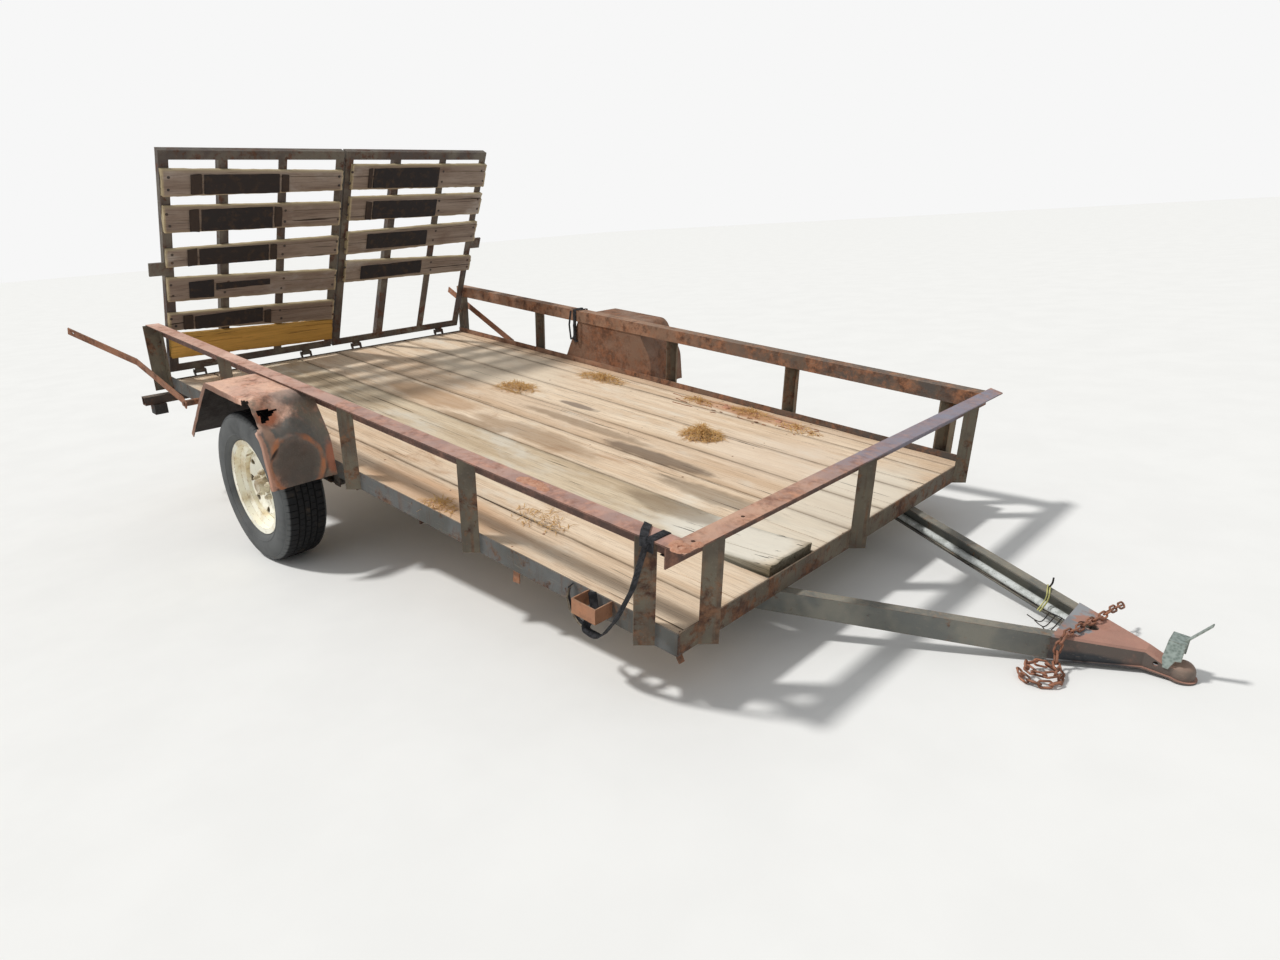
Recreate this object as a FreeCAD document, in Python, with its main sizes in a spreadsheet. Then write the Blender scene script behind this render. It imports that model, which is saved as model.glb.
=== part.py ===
import FreeCAD, Part
import math
import os

import Sketcher

# Single-axle utility trailer, millimetres and degrees.
# Modelled level in the trailer's own frame: X forward from the rear face of the deck frame,
# Y to the left, Z up from the frame's top edge. The near side is -Y, the far side +Y.
# Every piece is then set down nose first on its tyres and coupler, as the trailer parks.

NEAR, FAR = -1, 1
SIDES = {"near": NEAR, "far": FAR}
LEFT, RIGHT = 1, -1

# Driving dimensions: alias, value.
SIZES = [
    # Deck frame of angle iron
    ("frame_length", 3710),
    ("frame_width", 1945),
    ("frame_height", 72),
    ("frame_foot", 50),
    ("frame_wall", 5),
    ("rear_drop", 25),
    ("cross_height", 65),
    ("cross_foot", 50),
    ("cross_wall", 5),
    # Deck boards
    ("board_thick", 40),
    ("board_gap", 5),
    ("board_clearance", 0.5),
    ("warp_rise", 37),
    ("warp_run", 610),
    # Top rails and posts
    ("rail_top", 289),
    ("rail_leg", 66),
    ("rail_wall", 5),
    ("rail_overhang", 58),
    ("rail_skew", 40),
    ("rail_hole_radius", 6),
    ("post_leg", 60),
    ("post_wall", 5),
    ("side_post_back", 927),
    ("corner_post_back", 125),
    ("rear_post_reach", 77),
    ("rear_post_leg", 50),
    # Fenders
    ("fender_width", 270),
    ("fender_wall", 3),
    ("fender_lip", 24),
    # Tongue channels
    ("tongue_height", 76),
    ("tongue_flange", 36),
    ("tongue_wall", 5),
    ("tongue_angle", 25.6),
    ("tongue_spread", 468),
    ("tongue_root", 755),
    ("tongue_reach", 760),
    ("conduit_radius", 12.5),
    ("conduit_bore", 10.5),
    ("conduit_length", 1560),
    ("conduit_start", 90),
    ("conduit_clearance", 0.2),
    # Coupler
    ("coupler_plate", 6),
    ("coupler_wall", 5),
    ("coupler_skirt", 84),
    ("coupler_nose", 56),
    ("coupler_bevel", 6),
    ("coupler_rear", 712),
    ("coupler_neck", 22),
    ("coupler_lip", 7),
    ("saddle_back", 44),
    ("saddle_drop", 18),
    ("socket_reach", 1025),
    ("socket_wall", 7),
    ("ball_radius", 25.4),
    ("ball_clearance", 0.6),
    ("dome_drop", 4),
    ("chain_hole_ahead", 61.6),
    ("chain_hole_length", 56),
    ("chain_hole_width", 34),
    ("pin_hole_radius", 7),
    ("pin_hole_back", 62.7),
    ("pin_hole_down", 29),
    ("latch_back", 52),
    ("latch_length", 46),
    ("latch_wall", 3.5),
    ("latch_gap", 0.3),
    ("latch_rise", 58),
    ("latch_ear_down", 30),
    ("latch_ear_width", 14),
    ("lever_length", 85),
    ("lever_width", 20),
    ("lever_angle", 56),
    # Running gear
    ("axle_ahead", 1510),
    ("axle_down", 160),
    ("axle_radius", 30),
    ("axle_over", 27.5),
    ("spindle_radius", 19),
    ("spindle_over", 163.5),
    ("spindle_relief", 6),
    ("spring_inset", 25),
    ("spring_width", 40),
    ("spring_leaf", 7),
    ("spring_span", 660),
    ("eye_radius", 14),
    ("eye_bore", 7),
    ("eye_clearance", 0.3),
    ("hanger_wall", 4.5),
    ("hanger_width", 44),
    ("bolt_radius", 5),
    # Wheels
    ("wheel_over", 137.5),
    ("tyre_radius", 330),
    ("tyre_half_tread", 64),
    ("rim_radius", 209),
    ("rim_half", 76),
    ("rim_seat", 191),
    ("rim_ledge", 44),
    ("rim_well", 168),
    ("rim_well_half", 32),
    ("rim_wall", 4),
    ("dish_root_out", 12),
    ("dish_crown", 128),
    ("dish_crown_out", 33),
    ("dish_face", 98),
    ("dish_face_out", 24),
    ("disc_bore", 42),
    ("hand_hole_radius", 15),
    ("hand_hole_circle", 121),
    ("hub_radius", 36),
    ("hub_swell", 4),
    ("hub_back", 86),
    ("hub_step_back", 20),
    ("hub_flange", 68),
    ("hub_flange_out", 10),
    ("hub_gap", 0.3),
    ("cap_side_out", 44),
    ("cap_edge_out", 62),
    ("cap_out", 64),
    ("stud_circle", 57.15),
    ("stud_radius", 6),
    ("stud_clearance", 0.5),
    ("stud_start", 15),
    ("stud_length", 32),
    ("nut_radius", 10),
    ("nut_start", 24.3),
    ("nut_length", 16),
    ("bearing_clearance", 0.3),
    # Gates
    ("gate_height", 1255),
    ("gate_width", 949),
    ("gate_centre_gap", 12),
    ("gate_lean", 21),
    ("gate_back", 16),
    ("gate_down", 6),
    ("gate_foot", 20),
    ("gate_bar", 45),
    ("gate_flange", 38),
    ("gate_wall", 5),
    ("lath_thick", 22),
    ("mat_thick", 3),
    ("knuckle_radius", 11),
    ("knuckle_length", 50),
    ("pin_radius", 6),
    ("pin_clearance", 0.3),
    ("tab_wall", 6),
    ("tab_gap", 1),
    ("catch_low", 610),
    ("catch_height", 70),
    ("catch_reach", 72),
    # Stays
    ("stay_ahead", 468),
    ("stay_down", 40),
    ("stay_stand_off", 87.5),
    ("stay_length", 756),
    ("stay_width", 40),
    ("stay_thick", 6),
    ("stay_hole_radius", 6.3),
    ("stay_end", 14),
    ("lug_radius", 16),
    ("lug_pin_radius", 6),
    ("lug_head_radius", 12),
    ("lug_head", 7),
    ("lug_gap", 0.3),
    # Rear beam and lamp fittings
    ("beam_depth", 45),
    ("beam_height", 45),
    ("beam_wall", 4),
    ("beam_drop", 90),
    ("beam_over", 153.5),
    ("lamp_over", 52.5),
    ("lamp_width", 65),
    ("lamp_height", 55),
    ("lamp_depth", 60),
    ("lamp_wall", 2.5),
    ("guard_back", 350),
    ("guard_length", 100),
    ("guard_reach", 70),
    ("guard_height", 50),
    ("guard_wall", 4),
    # Safety chain
    ("link_wire", 6),
    ("link_length", 44),
    ("link_width", 24),
    ("link_pitch", 30.6),
    ("chain_clearance", 2),
    # Straps
    ("strap_width", 26),
    ("strap_thick", 2.4),
    ("strap_gap", 0.4),
    ("strap_back", 55),
    ("strap_hem", 30),
    ("strap_turn_in", 12),
    ("strap_bend", 90),
    ("strap_tail_gap", 1.6),
    ("strap_slack", 6),
    ("strap_end_back", 19),
    ("strap_end_up", 9.6),
    ("strap_far_ahead", 1215),
    ("strap_far_hang", 120),
    # Row origin: middle of the stored trailer's box, ahead of the axle and left of the centre
    ("middle_ahead", 781.155),
    ("middle_left", -59.686),
]

# Deck boards from near to far: width, front end's distance behind the front frame.
BOARDS = [
    {"width": 229, "short": 4},
    {"width": 251, "short": 9},
    {"width": 250, "short": 18},
    {"width": 251, "short": 5},
    {"width": 248, "short": 11},
    {"width": 246, "short": 6},
    {"width": 267, "short": 3},
    {"width": 118, "short": 8},
    {"width": 74, "short": 4},
]
WARPED = 2

CROSS_MEMBERS_AHEAD = [470, 940, 1420, 1900, 2370]
SIDE_POSTS_AHEAD = [878, 2000]
FRONT_POSTS_INSET = {"near": 132.5, "far": 110.5}
RAIL_HOLES_INWARD = [12.5, 227.5]
SPRING_LEAVES = [0.55, 0.8, 1.0]
HAND_HOLES = 8
NUTS = 5
FIRST_NUT_TURN = 18
GATE_UPRIGHTS = {"near": [-932, -655, -350, -29], "far": [29, 330, 640, 932]}
GATE_PINS_LEFT = [-800, -170, 170, 800]

# Laths of each gate from the top: heights up the gate at the right and left ends, lower then upper.
LATHS = {
    "near": {
        "ends": (-960, -10),
        "rows": [
            {"right": (1033, 1173), "left": (1044, 1157)},
            {"right": (848, 988), "left": (837, 978)},
            {"right": (659, 761), "left": (656, 774)},
            {"right": (465, 604), "left": (428, 562)},
            {"right": (293, 397), "left": (222, 359)},
        ],
    },
    "far": {
        "ends": (30, 965),
        "rows": [
            {"right": (1043, 1190), "left": (1043, 1190)},
            {"right": (859, 1003), "left": (859, 1003)},
            {"right": (647, 790), "left": (671, 811)},
            {"right": (466, 610), "left": (457, 568)},
        ],
    },
}
BOARD_ROW = {"ends": (-960, -10), "right": (117, 270), "left": (79, 222)}

# Rubber mats left on the laths: span across the gate, span up the gate.
MATS = {
    "near": [
        {"across": (-824, -767), "up": (1046, 1146)},
        {"across": (-760, -375), "up": (1046, 1146)},
        {"across": (-368, -325), "up": (1048, 1142)},
        {"across": (-835, -786), "up": (852, 968)},
        {"across": (-778, -409), "up": (852, 968)},
        {"across": (-402, -358), "up": (852, 968)},
        {"across": (-852, -801), "up": (663, 756)},
        {"across": (-793, -427), "up": (663, 756)},
        {"across": (-420, -381), "up": (663, 756)},
        {"across": (-850, -720), "up": (478, 573)},
        {"across": (-712, -416), "up": (512, 552)},
        {"across": (-886, -833), "up": (292, 380)},
        {"across": (-825, -454), "up": (286, 366)},
        {"across": (-446, -406), "up": (272, 352)},
    ],
    "far": [
        {"across": (136, 162), "up": (1056, 1170)},
        {"across": (168, 610), "up": (1056, 1170)},
        {"across": (135, 175), "up": (868, 978)},
        {"across": (181, 620), "up": (868, 978)},
        {"across": (162, 580), "up": (680, 775)},
        {"across": (140, 570), "up": (480, 570)},
    ],
}

# Outer line of a fender from its rear foot to its front foot: ahead, up, corner radius.
# The near one's rear foot is bent backward.
FENDER_LINES = {
    "near": [
        {"ahead": 1050, "up": -12, "round": 0},
        {"ahead": 1310, "up": 278, "round": 50},
        {"ahead": 1712, "up": 278, "round": 70},
        {"ahead": 1835, "up": 100, "round": 120},
        {"ahead": 1855, "up": -59, "round": 0},
    ],
    "far": [
        {"ahead": 1120, "up": -30, "round": 0},
        {"ahead": 1262, "up": 278, "round": 60},
        {"ahead": 1712, "up": 278, "round": 70},
        {"ahead": 1835, "up": 100, "round": 120},
        {"ahead": 1855, "up": -59, "round": 0},
    ],
}

# Damage to the near fender: a tear through the sheet as ahead, out from the frame, up at its corners,
# and the torn edge as ahead, in from the fender's outer edge.
FENDER_TEAR = [(1737, 243, 241), (1741, 151, 235), (1770, 234, 192)]
TEAR_NORMAL = (0.823, 0.0, 0.568)
TEAR_REACH = 25
FENDER_TORN_EDGE = [(1684, -1), (1700, 14), (1740, 9), (1775, 8), (1786, -1)]
TORN_EDGE_UP = (120, 300)

# Half section of a tyre from the tread's edge: down from the crown, out from the tread's half width.
TYRE_OUTSIDE = [(0, 0), (4, 11), (14, 20), (34, 28.5), (68, 33), (102, 24), (119, 7.3), (138.7, 5.7)]
TYRE_INSIDE = [(138.7, -8.7), (100, 14), (68, 21), (30, 10), (17, -8)]

# Bends of the stays from the pivot: ahead, up, outward.
STAY_POINTS = {
    "near": [(0, 0, 0), (-323, 174, 97), (-568, 350, 297)],
    "far": [(0, 0, 0), (-354, 133, 0), (-708, 266, 0)],
}

# Hanging part of the near strap: behind its loop, in from its outer side, up.
STRAP_HANG = [
    (0, 0, 282),
    (45, 0, 130),
    (105, 0, 10),
    (185, 15, -96),
    (275, 32, -102),
]

# Route of the safety chain from its free end over the coupler's plate to the heap:
# ahead of the coupler's rear edge, left, up from the plate.
CHAIN_ROUTE = [
    (102, 205, 2),
    (90, 122, 16),
    (78, 60, 11),
    (62, 10, 11),
    (48, -60, 11),
    (36, -106, 15),
    (31, -132, 13),
    (28, -148, -10),
    (27, -155, -34),
    (30, -166, -52),
]
CHAIN_HEAP = {"ahead": 18, "left": -222, "radius": 37, "pitch": 14, "turns": 1.6, "start": 30, "lift": 22}
CHAIN_HEAP_FALL = (0.55, 1.0)


class Size:
    """A value of the sheet, or a sum or product of such values, with its expression."""

    def __init__(self, value, text):
        self.value = value
        self.text = text

    def __add__(self, other):
        other = as_size(other)
        return Size(self.value + other.value, f"({self.text} + {other.text})")

    def __radd__(self, other):
        return as_size(other) + self

    def __sub__(self, other):
        other = as_size(other)
        return Size(self.value - other.value, f"({self.text} - {other.text})")

    def __rsub__(self, other):
        return as_size(other) - self

    def __mul__(self, other):
        other = as_size(other)
        return Size(self.value * other.value, f"({self.text} * {other.text})")

    def __rmul__(self, other):
        return as_size(other) * self

    def __truediv__(self, other):
        other = as_size(other)
        return Size(self.value / other.value, f"({self.text} / {other.text})")

    def __neg__(self):
        return as_size(0) - self


def as_size(value):
    """The value itself, or a plain number as a size."""
    if isinstance(value, Size):
        return value
    return Size(float(value), f"({float(value)})")


def number(value):
    """The plain number of a size or a number."""
    return as_size(value).value


class Book:
    """Reads the sheet's aliases as sizes."""

    def __init__(self, sheet):
        self.sheet = sheet

    def __getattr__(self, alias):
        return Size(float(self.sheet.get(alias)), f"{self.sheet.Name}.{alias}")


def make_sheet(doc):
    """The sheet of driving dimensions."""
    sheet = doc.addObject("Spreadsheet::Sheet", "Sizes")
    for row, (alias, value) in enumerate(SIZES, 1):
        sheet.set(f"A{row}", alias)
        sheet.set(f"B{row}", str(value))
        sheet.setAlias(f"B{row}", alias)
    doc.recompute()
    return sheet


DOC = FreeCAD.newDocument("utility_trailer")
S = Book(make_sheet(DOC))
NODES = []


def cosine(angle):
    """Cosine of an angle in degrees."""
    return Size(math.cos(math.radians(angle.value)), f"cos({angle.text})")


def tangent(angle):
    """Tangent of an angle in degrees."""
    return Size(math.tan(math.radians(angle.value)), f"tan({angle.text})")


def bind(item, name, value):
    """Bind a property to an expression of the sheet, or set a plain number."""
    value = as_size(value)
    item.setExpression(name, value.text)


def place(item, corner):
    """Bind an object's base point."""
    for axis, value in zip("xyz", corner):
        bind(item, f"Placement.Base.{axis}", value)


def box(name, across_x, across_y, across_z):
    """A block between two values on each axis, given in either order."""
    spans = []
    for low, high in (across_x, across_y, across_z):
        spans.append((low, high) if number(low) < number(high) else (high, low))
    block = DOC.addObject("Part::Box", name)
    for side, (low, high) in zip(("Length", "Width", "Height"), spans):
        bind(block, side, as_size(high) - low)
    place(block, [low for low, _ in spans])
    return block


TURNS = {
    "x": FreeCAD.Rotation(FreeCAD.Vector(0, 1, 0), 90),
    "y": FreeCAD.Rotation(FreeCAD.Vector(1, 0, 0), -90),
    "z": FreeCAD.Rotation(),
}


def rod(name, radius, start, axis, length):
    """A cylinder that runs along an axis from its start."""
    cylinder = DOC.addObject("Part::Cylinder", name)
    bind(cylinder, "Radius", radius)
    bind(cylinder, "Height", length)
    cylinder.Placement = FreeCAD.Placement(FreeCAD.Vector(), TURNS[axis])
    place(cylinder, start)
    return cylinder


def through_rod(name, radius, centre, axis, reach):
    """A cylinder centred on a point, reaching as far to both sides."""
    start = list(centre)
    index = "xyz".index(axis)
    start[index] = as_size(centre[index]) - reach
    return rod(name, radius, start, axis, as_size(reach) * 2)


def joined(kind, name, parts):
    """A union or a compound of parts; a compound's parts stay separate solids."""
    item = DOC.addObject(kind, name)
    if kind == "Part::Compound":
        item.Links = parts
    else:
        item.Shapes = parts
        item.Refine = True
    return item


def fuse(name, parts):
    """Weld parts that touch or overlap into one solid."""
    return joined("Part::MultiFuse", name, parts)


def group(name, parts):
    """Keep parts as separate solids of one object."""
    return joined("Part::Compound", name, parts)


def cut(name, base, tools):
    """Take the tools away from the base."""
    item = DOC.addObject("Part::Cut", name)
    item.Base = base
    item.Tool = tools[0] if len(tools) == 1 else group(name + "_tools", tools)
    return item


def arc_centre(start, end, radius, turn):
    """Centre of the shorter arc between two points that turns left or right."""
    chord = end - start
    rise = math.sqrt(radius * radius - chord.Length * chord.Length / 4)
    side = FreeCAD.Vector(-chord.y, chord.x, 0).normalize()
    return (start + end) * 0.5 + side * (rise * turn)


def draw(sketch, corners):
    """Draw a closed outline; a corner is (u, v), or (u, v, radius, turn) where an arc leads to it."""
    ends = [FreeCAD.Vector(number(c[0]), number(c[1]), 0) for c in corners]
    tips = []
    for index, corner in enumerate(corners):
        start, end = ends[index - 1], ends[index]
        if len(corner) == 2:
            sketch.addGeometry(Part.LineSegment(start, end), False)
            tips.append((1, 2))
            continue
        radius, turn = number(corner[2]), corner[3]
        centre = arc_centre(start, end, radius, turn)
        first, last = (start, end) if turn == LEFT else (end, start)
        angles = [math.atan2(p.y - centre.y, p.x - centre.x) for p in (first, last)]
        circle = Part.Circle(centre, FreeCAD.Vector(0, 0, 1), radius)
        sketch.addGeometry(Part.ArcOfCircle(circle, angles[0], angles[1]), False)
        tips.append((1, 2) if turn == LEFT else (2, 1))
    for index, corner in enumerate(corners):
        follower = (index + 1) % len(corners)
        sketch.addConstraint(
            Sketcher.Constraint("Coincident", index, tips[index][1], follower, tips[follower][0])
        )
        fixed = [("DistanceX", corner[0]), ("DistanceY", corner[1])]
        for kind, value in fixed:
            made = sketch.addConstraint(
                Sketcher.Constraint(kind, -1, 1, index, tips[index][1], number(value))
            )
            bind(sketch, f"Constraints[{made}]", value)
        if len(corner) > 2:
            made = sketch.addConstraint(Sketcher.Constraint("Radius", index, number(corner[2])))
            bind(sketch, f"Constraints[{made}]", corner[2])


def body_with_sketch(name, plane, corners):
    """A body with an outline on one of its own origin planes."""
    body = DOC.addObject("PartDesign::Body", name)
    sketch = body.newObject("Sketcher::SketchObject", name + "_outline")
    support = [item for item in body.Origin.OriginFeatures if item.Role == plane][0]
    sketch.AttachmentSupport = (support, [""])
    sketch.MapMode = "FlatFace"
    draw(sketch, corners)
    return body, sketch


def pad(name, plane, corners, low, high):
    """An outline extruded square to its plane between two values."""
    if number(low) > number(high):
        low, high = high, low
    body, sketch = body_with_sketch(name, plane, corners)
    feature = body.newObject("PartDesign::Pad", name + "_pad")
    feature.Profile = sketch
    bind(feature, "Length", as_size(high) - low)
    feature.Reversed = plane == "XZ_Plane"
    normal = {"XY_Plane": "z", "XZ_Plane": "y", "YZ_Plane": "x"}[plane]
    bind(body, f"Placement.Base.{normal}", low)
    sketch.Visibility = False
    return body


def turned(name, plane, corners):
    """An outline of distances from the axis and along it, turned about the sketch's upright axis."""
    body, sketch = body_with_sketch(name, plane, corners)
    feature = body.newObject("PartDesign::Revolution", name + "_turn")
    feature.Profile = sketch
    feature.ReferenceAxis = (sketch, ["V_Axis"])
    feature.Angle = 360
    return body


def solid(name, shape):
    """An object with a shape made by the geometry functions."""
    item = DOC.addObject("Part::Feature", name)
    item.Shape = shape
    return item


def nose_down():
    """Angle at which the tyres and the socket's rim stand on one floor, in degrees."""
    ahead = S.frame_length.value + S.socket_reach.value + socket_outer().value - S.axle_ahead.value
    rise = S.axle_down.value - socket_foot().value
    run = math.hypot(ahead, rise)
    return math.degrees(math.asin(S.tyre_radius.value / run) + math.atan2(rise, ahead))


def socket_outer():
    """Outer radius of the ball socket at its rim."""
    return S.ball_radius + S.ball_clearance + S.socket_wall + S.coupler_lip


def socket_foot():
    """Depth of the socket's rim below the frame's top edge."""
    return S.frame_height - S.coupler_plate + S.coupler_nose


def floor_up(ahead):
    """Height of the floor in the trailer's own frame, at a distance ahead."""
    lean = math.radians(nose_down())
    drop = S.tyre_radius.value - math.sin(lean) * (ahead - S.axle_ahead.value)
    return -S.axle_down.value - drop / math.cos(lean)


def resting_placement():
    """From the trailer's own frame to the floor below the middle of the stored trailer."""
    lean = math.radians(nose_down())
    ahead = -S.axle_ahead.value * math.cos(lean) + S.axle_down.value * math.sin(lean)
    up = S.axle_ahead.value * math.sin(lean) + S.axle_down.value * math.cos(lean)
    base = FreeCAD.Vector(
        ahead - S.middle_ahead.value, -S.middle_left.value, up + S.tyre_radius.value
    )
    return FreeCAD.Placement(base, FreeCAD.Rotation(FreeCAD.Vector(0, 1, 0), math.degrees(lean)))


REST = resting_placement()
GATE_REST = REST.multiply(
    FreeCAD.Placement(
        FreeCAD.Vector(-S.gate_back.value, 0, -S.gate_down.value),
        FreeCAD.Rotation(FreeCAD.Vector(0, 1, 0), S.gate_lean.value),
    )
)


def node(label, parts, placement=REST):
    """A named sub-part in its resting place."""
    item = group(label, parts)
    item.Label = label
    item.Placement = placement
    NODES.append(item)


# Shared places
HALF = S.frame_width / 2
INNER = HALF - S.frame_wall
TOE = HALF - S.frame_foot
FLOOR = S.frame_wall - S.frame_height
DECK = FLOOR + S.board_thick
RAIL_UNDER = S.rail_top - S.rail_wall
RAIL_OUTER = INNER + S.rail_leg
CROSS_LOW = FLOOR - S.cross_height
WHEEL_CENTRE = HALF + S.wheel_over
COUPLER_TOP = S.coupler_plate - S.frame_height
COUPLER_START = S.frame_length + S.coupler_rear
SOCKET_AHEAD = S.frame_length + S.socket_reach


def frame():
    """Angle-iron deck frame: two sides, front and rear members butted between them."""
    for side, sign in SIDES.items():
        corners = [
            (HALF * sign, 0),
            (HALF * sign, -S.frame_height),
            (TOE * sign, -S.frame_height),
            (TOE * sign, FLOOR),
            (INNER * sign, FLOOR),
            (INNER * sign, 0),
        ]
        node(f"side_frame_{side}", [pad(f"side_angle_{side}", "YZ_Plane", corners, 0, S.frame_length)])
    ends = {
        "front": (S.frame_length, -1, as_size(0)),
        "rear": (as_size(0), 1, -S.rear_drop),
    }
    for name, (face, inward, top) in ends.items():
        leg = box(
            f"{name}_leg",
            (face, face + S.frame_wall * inward),
            (-INNER, INNER),
            (FLOOR, top),
        )
        foot = box(
            f"{name}_foot",
            (face, face + S.frame_foot * inward),
            (-TOE, TOE),
            (-S.frame_height, FLOOR),
        )
        node(f"{name}_frame", [fuse(f"{name}_angle", [leg, foot])])


def cross_member(index, ahead, forward):
    """One cross angle, coped to fit between the side frames' feet."""
    leg = box(
        f"cross_leg_{index}",
        (ahead, ahead + S.cross_wall * forward),
        (-TOE, TOE),
        (CROSS_LOW, FLOOR),
    )
    foot = box(
        f"cross_foot_{index}",
        (ahead, ahead + S.cross_foot * forward),
        (-TOE, TOE),
        (FLOOR - S.cross_wall, FLOOR),
    )
    return fuse(f"cross_member_{index}", [leg, foot])


def cross_members():
    """Cross angles under the boards; the foremost takes the tongue's roots on its front face."""
    members = [cross_member(i, ahead, 1) for i, ahead in enumerate(CROSS_MEMBERS_AHEAD)]
    root = S.frame_length - S.tongue_root
    members.append(cross_member(len(members), root, -1))
    node("cross_members", members)


def board_span(index):
    """Right and left faces of a board; the boards share the frame's inside, with a gap at each seam."""
    widths = [board["width"] for board in BOARDS]
    edge = INNER - S.board_clearance
    spread = edge * 2 / sum(widths)
    right = spread * sum(widths[:index]) - edge
    left = spread * sum(widths[: index + 1]) - edge
    if index > 0:
        right = right + S.board_gap / 2
    if index < len(BOARDS) - 1:
        left = left - S.board_gap / 2
    return right, left


def deck():
    """Boards lying on the frame's feet, and one whose front end has warped upward."""
    start = S.frame_wall + S.board_clearance
    boards = []
    for index, board in enumerate(BOARDS):
        if index == WARPED:
            continue
        right, left = board_span(index)
        end = S.frame_length - S.frame_wall - board["short"]
        boards.append(box(f"board_{index}", (start, end), (right, left), (FLOOR, DECK)))
    node("deck_planks", boards)
    right, left = board_span(WARPED)
    end = S.frame_length - S.frame_wall - BOARDS[WARPED]["short"]
    bend = end - S.warp_run
    radius = (S.warp_run * S.warp_run + S.warp_rise * S.warp_rise) / (S.warp_rise * 2)
    inner_radius = radius - S.board_thick
    shrink = inner_radius / radius
    corners = [
        (start, FLOOR),
        (bend, FLOOR),
        (end, FLOOR + S.warp_rise, radius, LEFT),
        (bend + S.warp_run * shrink, DECK + S.warp_rise * shrink),
        (bend, DECK, inner_radius, RIGHT),
        (start, DECK),
    ]
    node("raised_plank", [pad("warped_board", "XZ_Plane", corners, right, left)])


def rails():
    """Top rails: side angles that butt against the front one, whose far end runs past with a skew cut."""
    front_face = S.frame_length - S.frame_wall
    for side, sign in SIDES.items():
        corners = [
            (INNER * sign, S.rail_top),
            (INNER * sign, S.rail_top - S.rail_leg),
            ((INNER + S.rail_wall) * sign, S.rail_top - S.rail_leg),
            ((INNER + S.rail_wall) * sign, RAIL_UNDER),
            (RAIL_OUTER * sign, RAIL_UNDER),
            (RAIL_OUTER * sign, S.rail_top),
        ]
        node(f"rail_{side}", [pad(f"rail_angle_{side}", "YZ_Plane", corners, 0, front_face)])
    tip = RAIL_OUTER + S.rail_overhang
    top = pad(
        "front_rail_top",
        "XY_Plane",
        [
            (front_face, -RAIL_OUTER),
            (front_face + S.rail_leg, -RAIL_OUTER),
            (front_face + S.rail_leg, tip - S.rail_skew),
            (front_face, tip),
        ],
        RAIL_UNDER,
        S.rail_top,
    )
    leg = box(
        "front_rail_leg",
        (front_face, S.frame_length),
        (-RAIL_OUTER, tip - S.rail_skew),
        (S.rail_top - S.rail_leg, RAIL_UNDER),
    )
    holes = []
    for index, inward in enumerate(RAIL_HOLES_INWARD):
        centre = (front_face + S.rail_leg / 2, -HALF + inward, S.rail_top)
        holes.append(through_rod(f"rail_hole_{index}", S.rail_hole_radius, centre, "z", S.rail_wall * 2))
    node("rail_front", [cut("front_rail", fuse("front_rail_angle", [top, leg]), holes)])


def post(name, ahead, left, outward):
    """An upright angle with both toes on the frame and its corner outward."""
    half = S.post_leg * math.sqrt(0.5)
    skin = S.post_wall * math.sqrt(2)
    offsets = [
        (-half, 0),
        (0, half),
        (half, 0),
        (half - skin, 0),
        (0, half - skin),
        (skin - half, 0),
    ]
    corners = []
    for along, out in offsets:
        if outward == "forward":
            corners.append((as_size(ahead) + out, as_size(left) + along))
        else:
            corners.append((as_size(ahead) + along, as_size(left) + as_size(out) * outward))
    return pad(name, "XY_Plane", corners, -S.frame_height, RAIL_UNDER)


def posts():
    """Short posts between the frame and the top rails."""
    uprights = []
    places = SIDE_POSTS_AHEAD + [S.frame_length - S.side_post_back, S.frame_length - S.corner_post_back]
    for side, sign in SIDES.items():
        for index, ahead in enumerate(places):
            uprights.append(post(f"side_post_{side}_{index}", ahead, HALF * sign, sign))
    node("side_posts", uprights)
    front = []
    near, far = FRONT_POSTS_INSET["near"] - HALF, HALF - FRONT_POSTS_INSET["far"]
    for index, left in enumerate((near, 0, far)):
        front.append(post(f"front_post_{index}", S.frame_length, left, "forward"))
    node("front_posts", front)
    rear = []
    for side, sign in SIDES.items():
        reach = HALF + S.rear_post_reach
        corners = [
            (0, HALF * sign),
            (0, reach * sign),
            (S.post_wall, reach * sign),
            (S.post_wall, (HALF + S.post_wall) * sign),
            (S.rear_post_leg, (HALF + S.post_wall) * sign),
            (S.rear_post_leg, HALF * sign),
        ]
        rear.append(pad(f"rear_post_{side}", "XY_Plane", corners, -S.frame_height, RAIL_UNDER))
    node("rear_posts", rear)


def fender_path(line, inset):
    """Edges of a fender's line, moved inward by an inset, with its corners rounded."""
    points = [FreeCAD.Vector(row["ahead"], 0, row["up"]) for row in line]
    shifted = []
    for index, point in enumerate(points):
        before = points[max(index - 1, 0)]
        after = points[min(index + 1, len(points) - 1)]
        into = (point - before) if index else (after - point)
        out = (after - point) if index < len(points) - 1 else (point - before)
        into.normalize()
        out.normalize()
        half_turn = into.getAngle(out) / 2
        inward = FreeCAD.Vector(into.z, 0, -into.x) + FreeCAD.Vector(out.z, 0, -out.x)
        inward.normalize()
        shifted.append(point + inward * (inset / math.cos(half_turn)))
    edges = []
    start = shifted[0]
    for index in range(1, len(shifted) - 1):
        corner = shifted[index]
        into = (corner - shifted[index - 1]).normalize()
        out = (shifted[index + 1] - corner).normalize()
        radius = line[index]["round"] - inset
        half_turn = into.getAngle(out) / 2
        back = radius * math.tan(half_turn)
        arc_start = corner - into * back
        arc_end = corner + out * back
        bisector = (out - into).normalize()
        middle = corner + bisector * (radius / math.cos(half_turn) - radius)
        edges.append(Part.LineSegment(start, arc_start).toShape())
        edges.append(Part.Arc(arc_start, middle, arc_end).toShape())
        start = arc_end
    edges.append(Part.LineSegment(start, shifted[-1]).toShape())
    return edges, shifted[0], shifted[-1]


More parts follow.
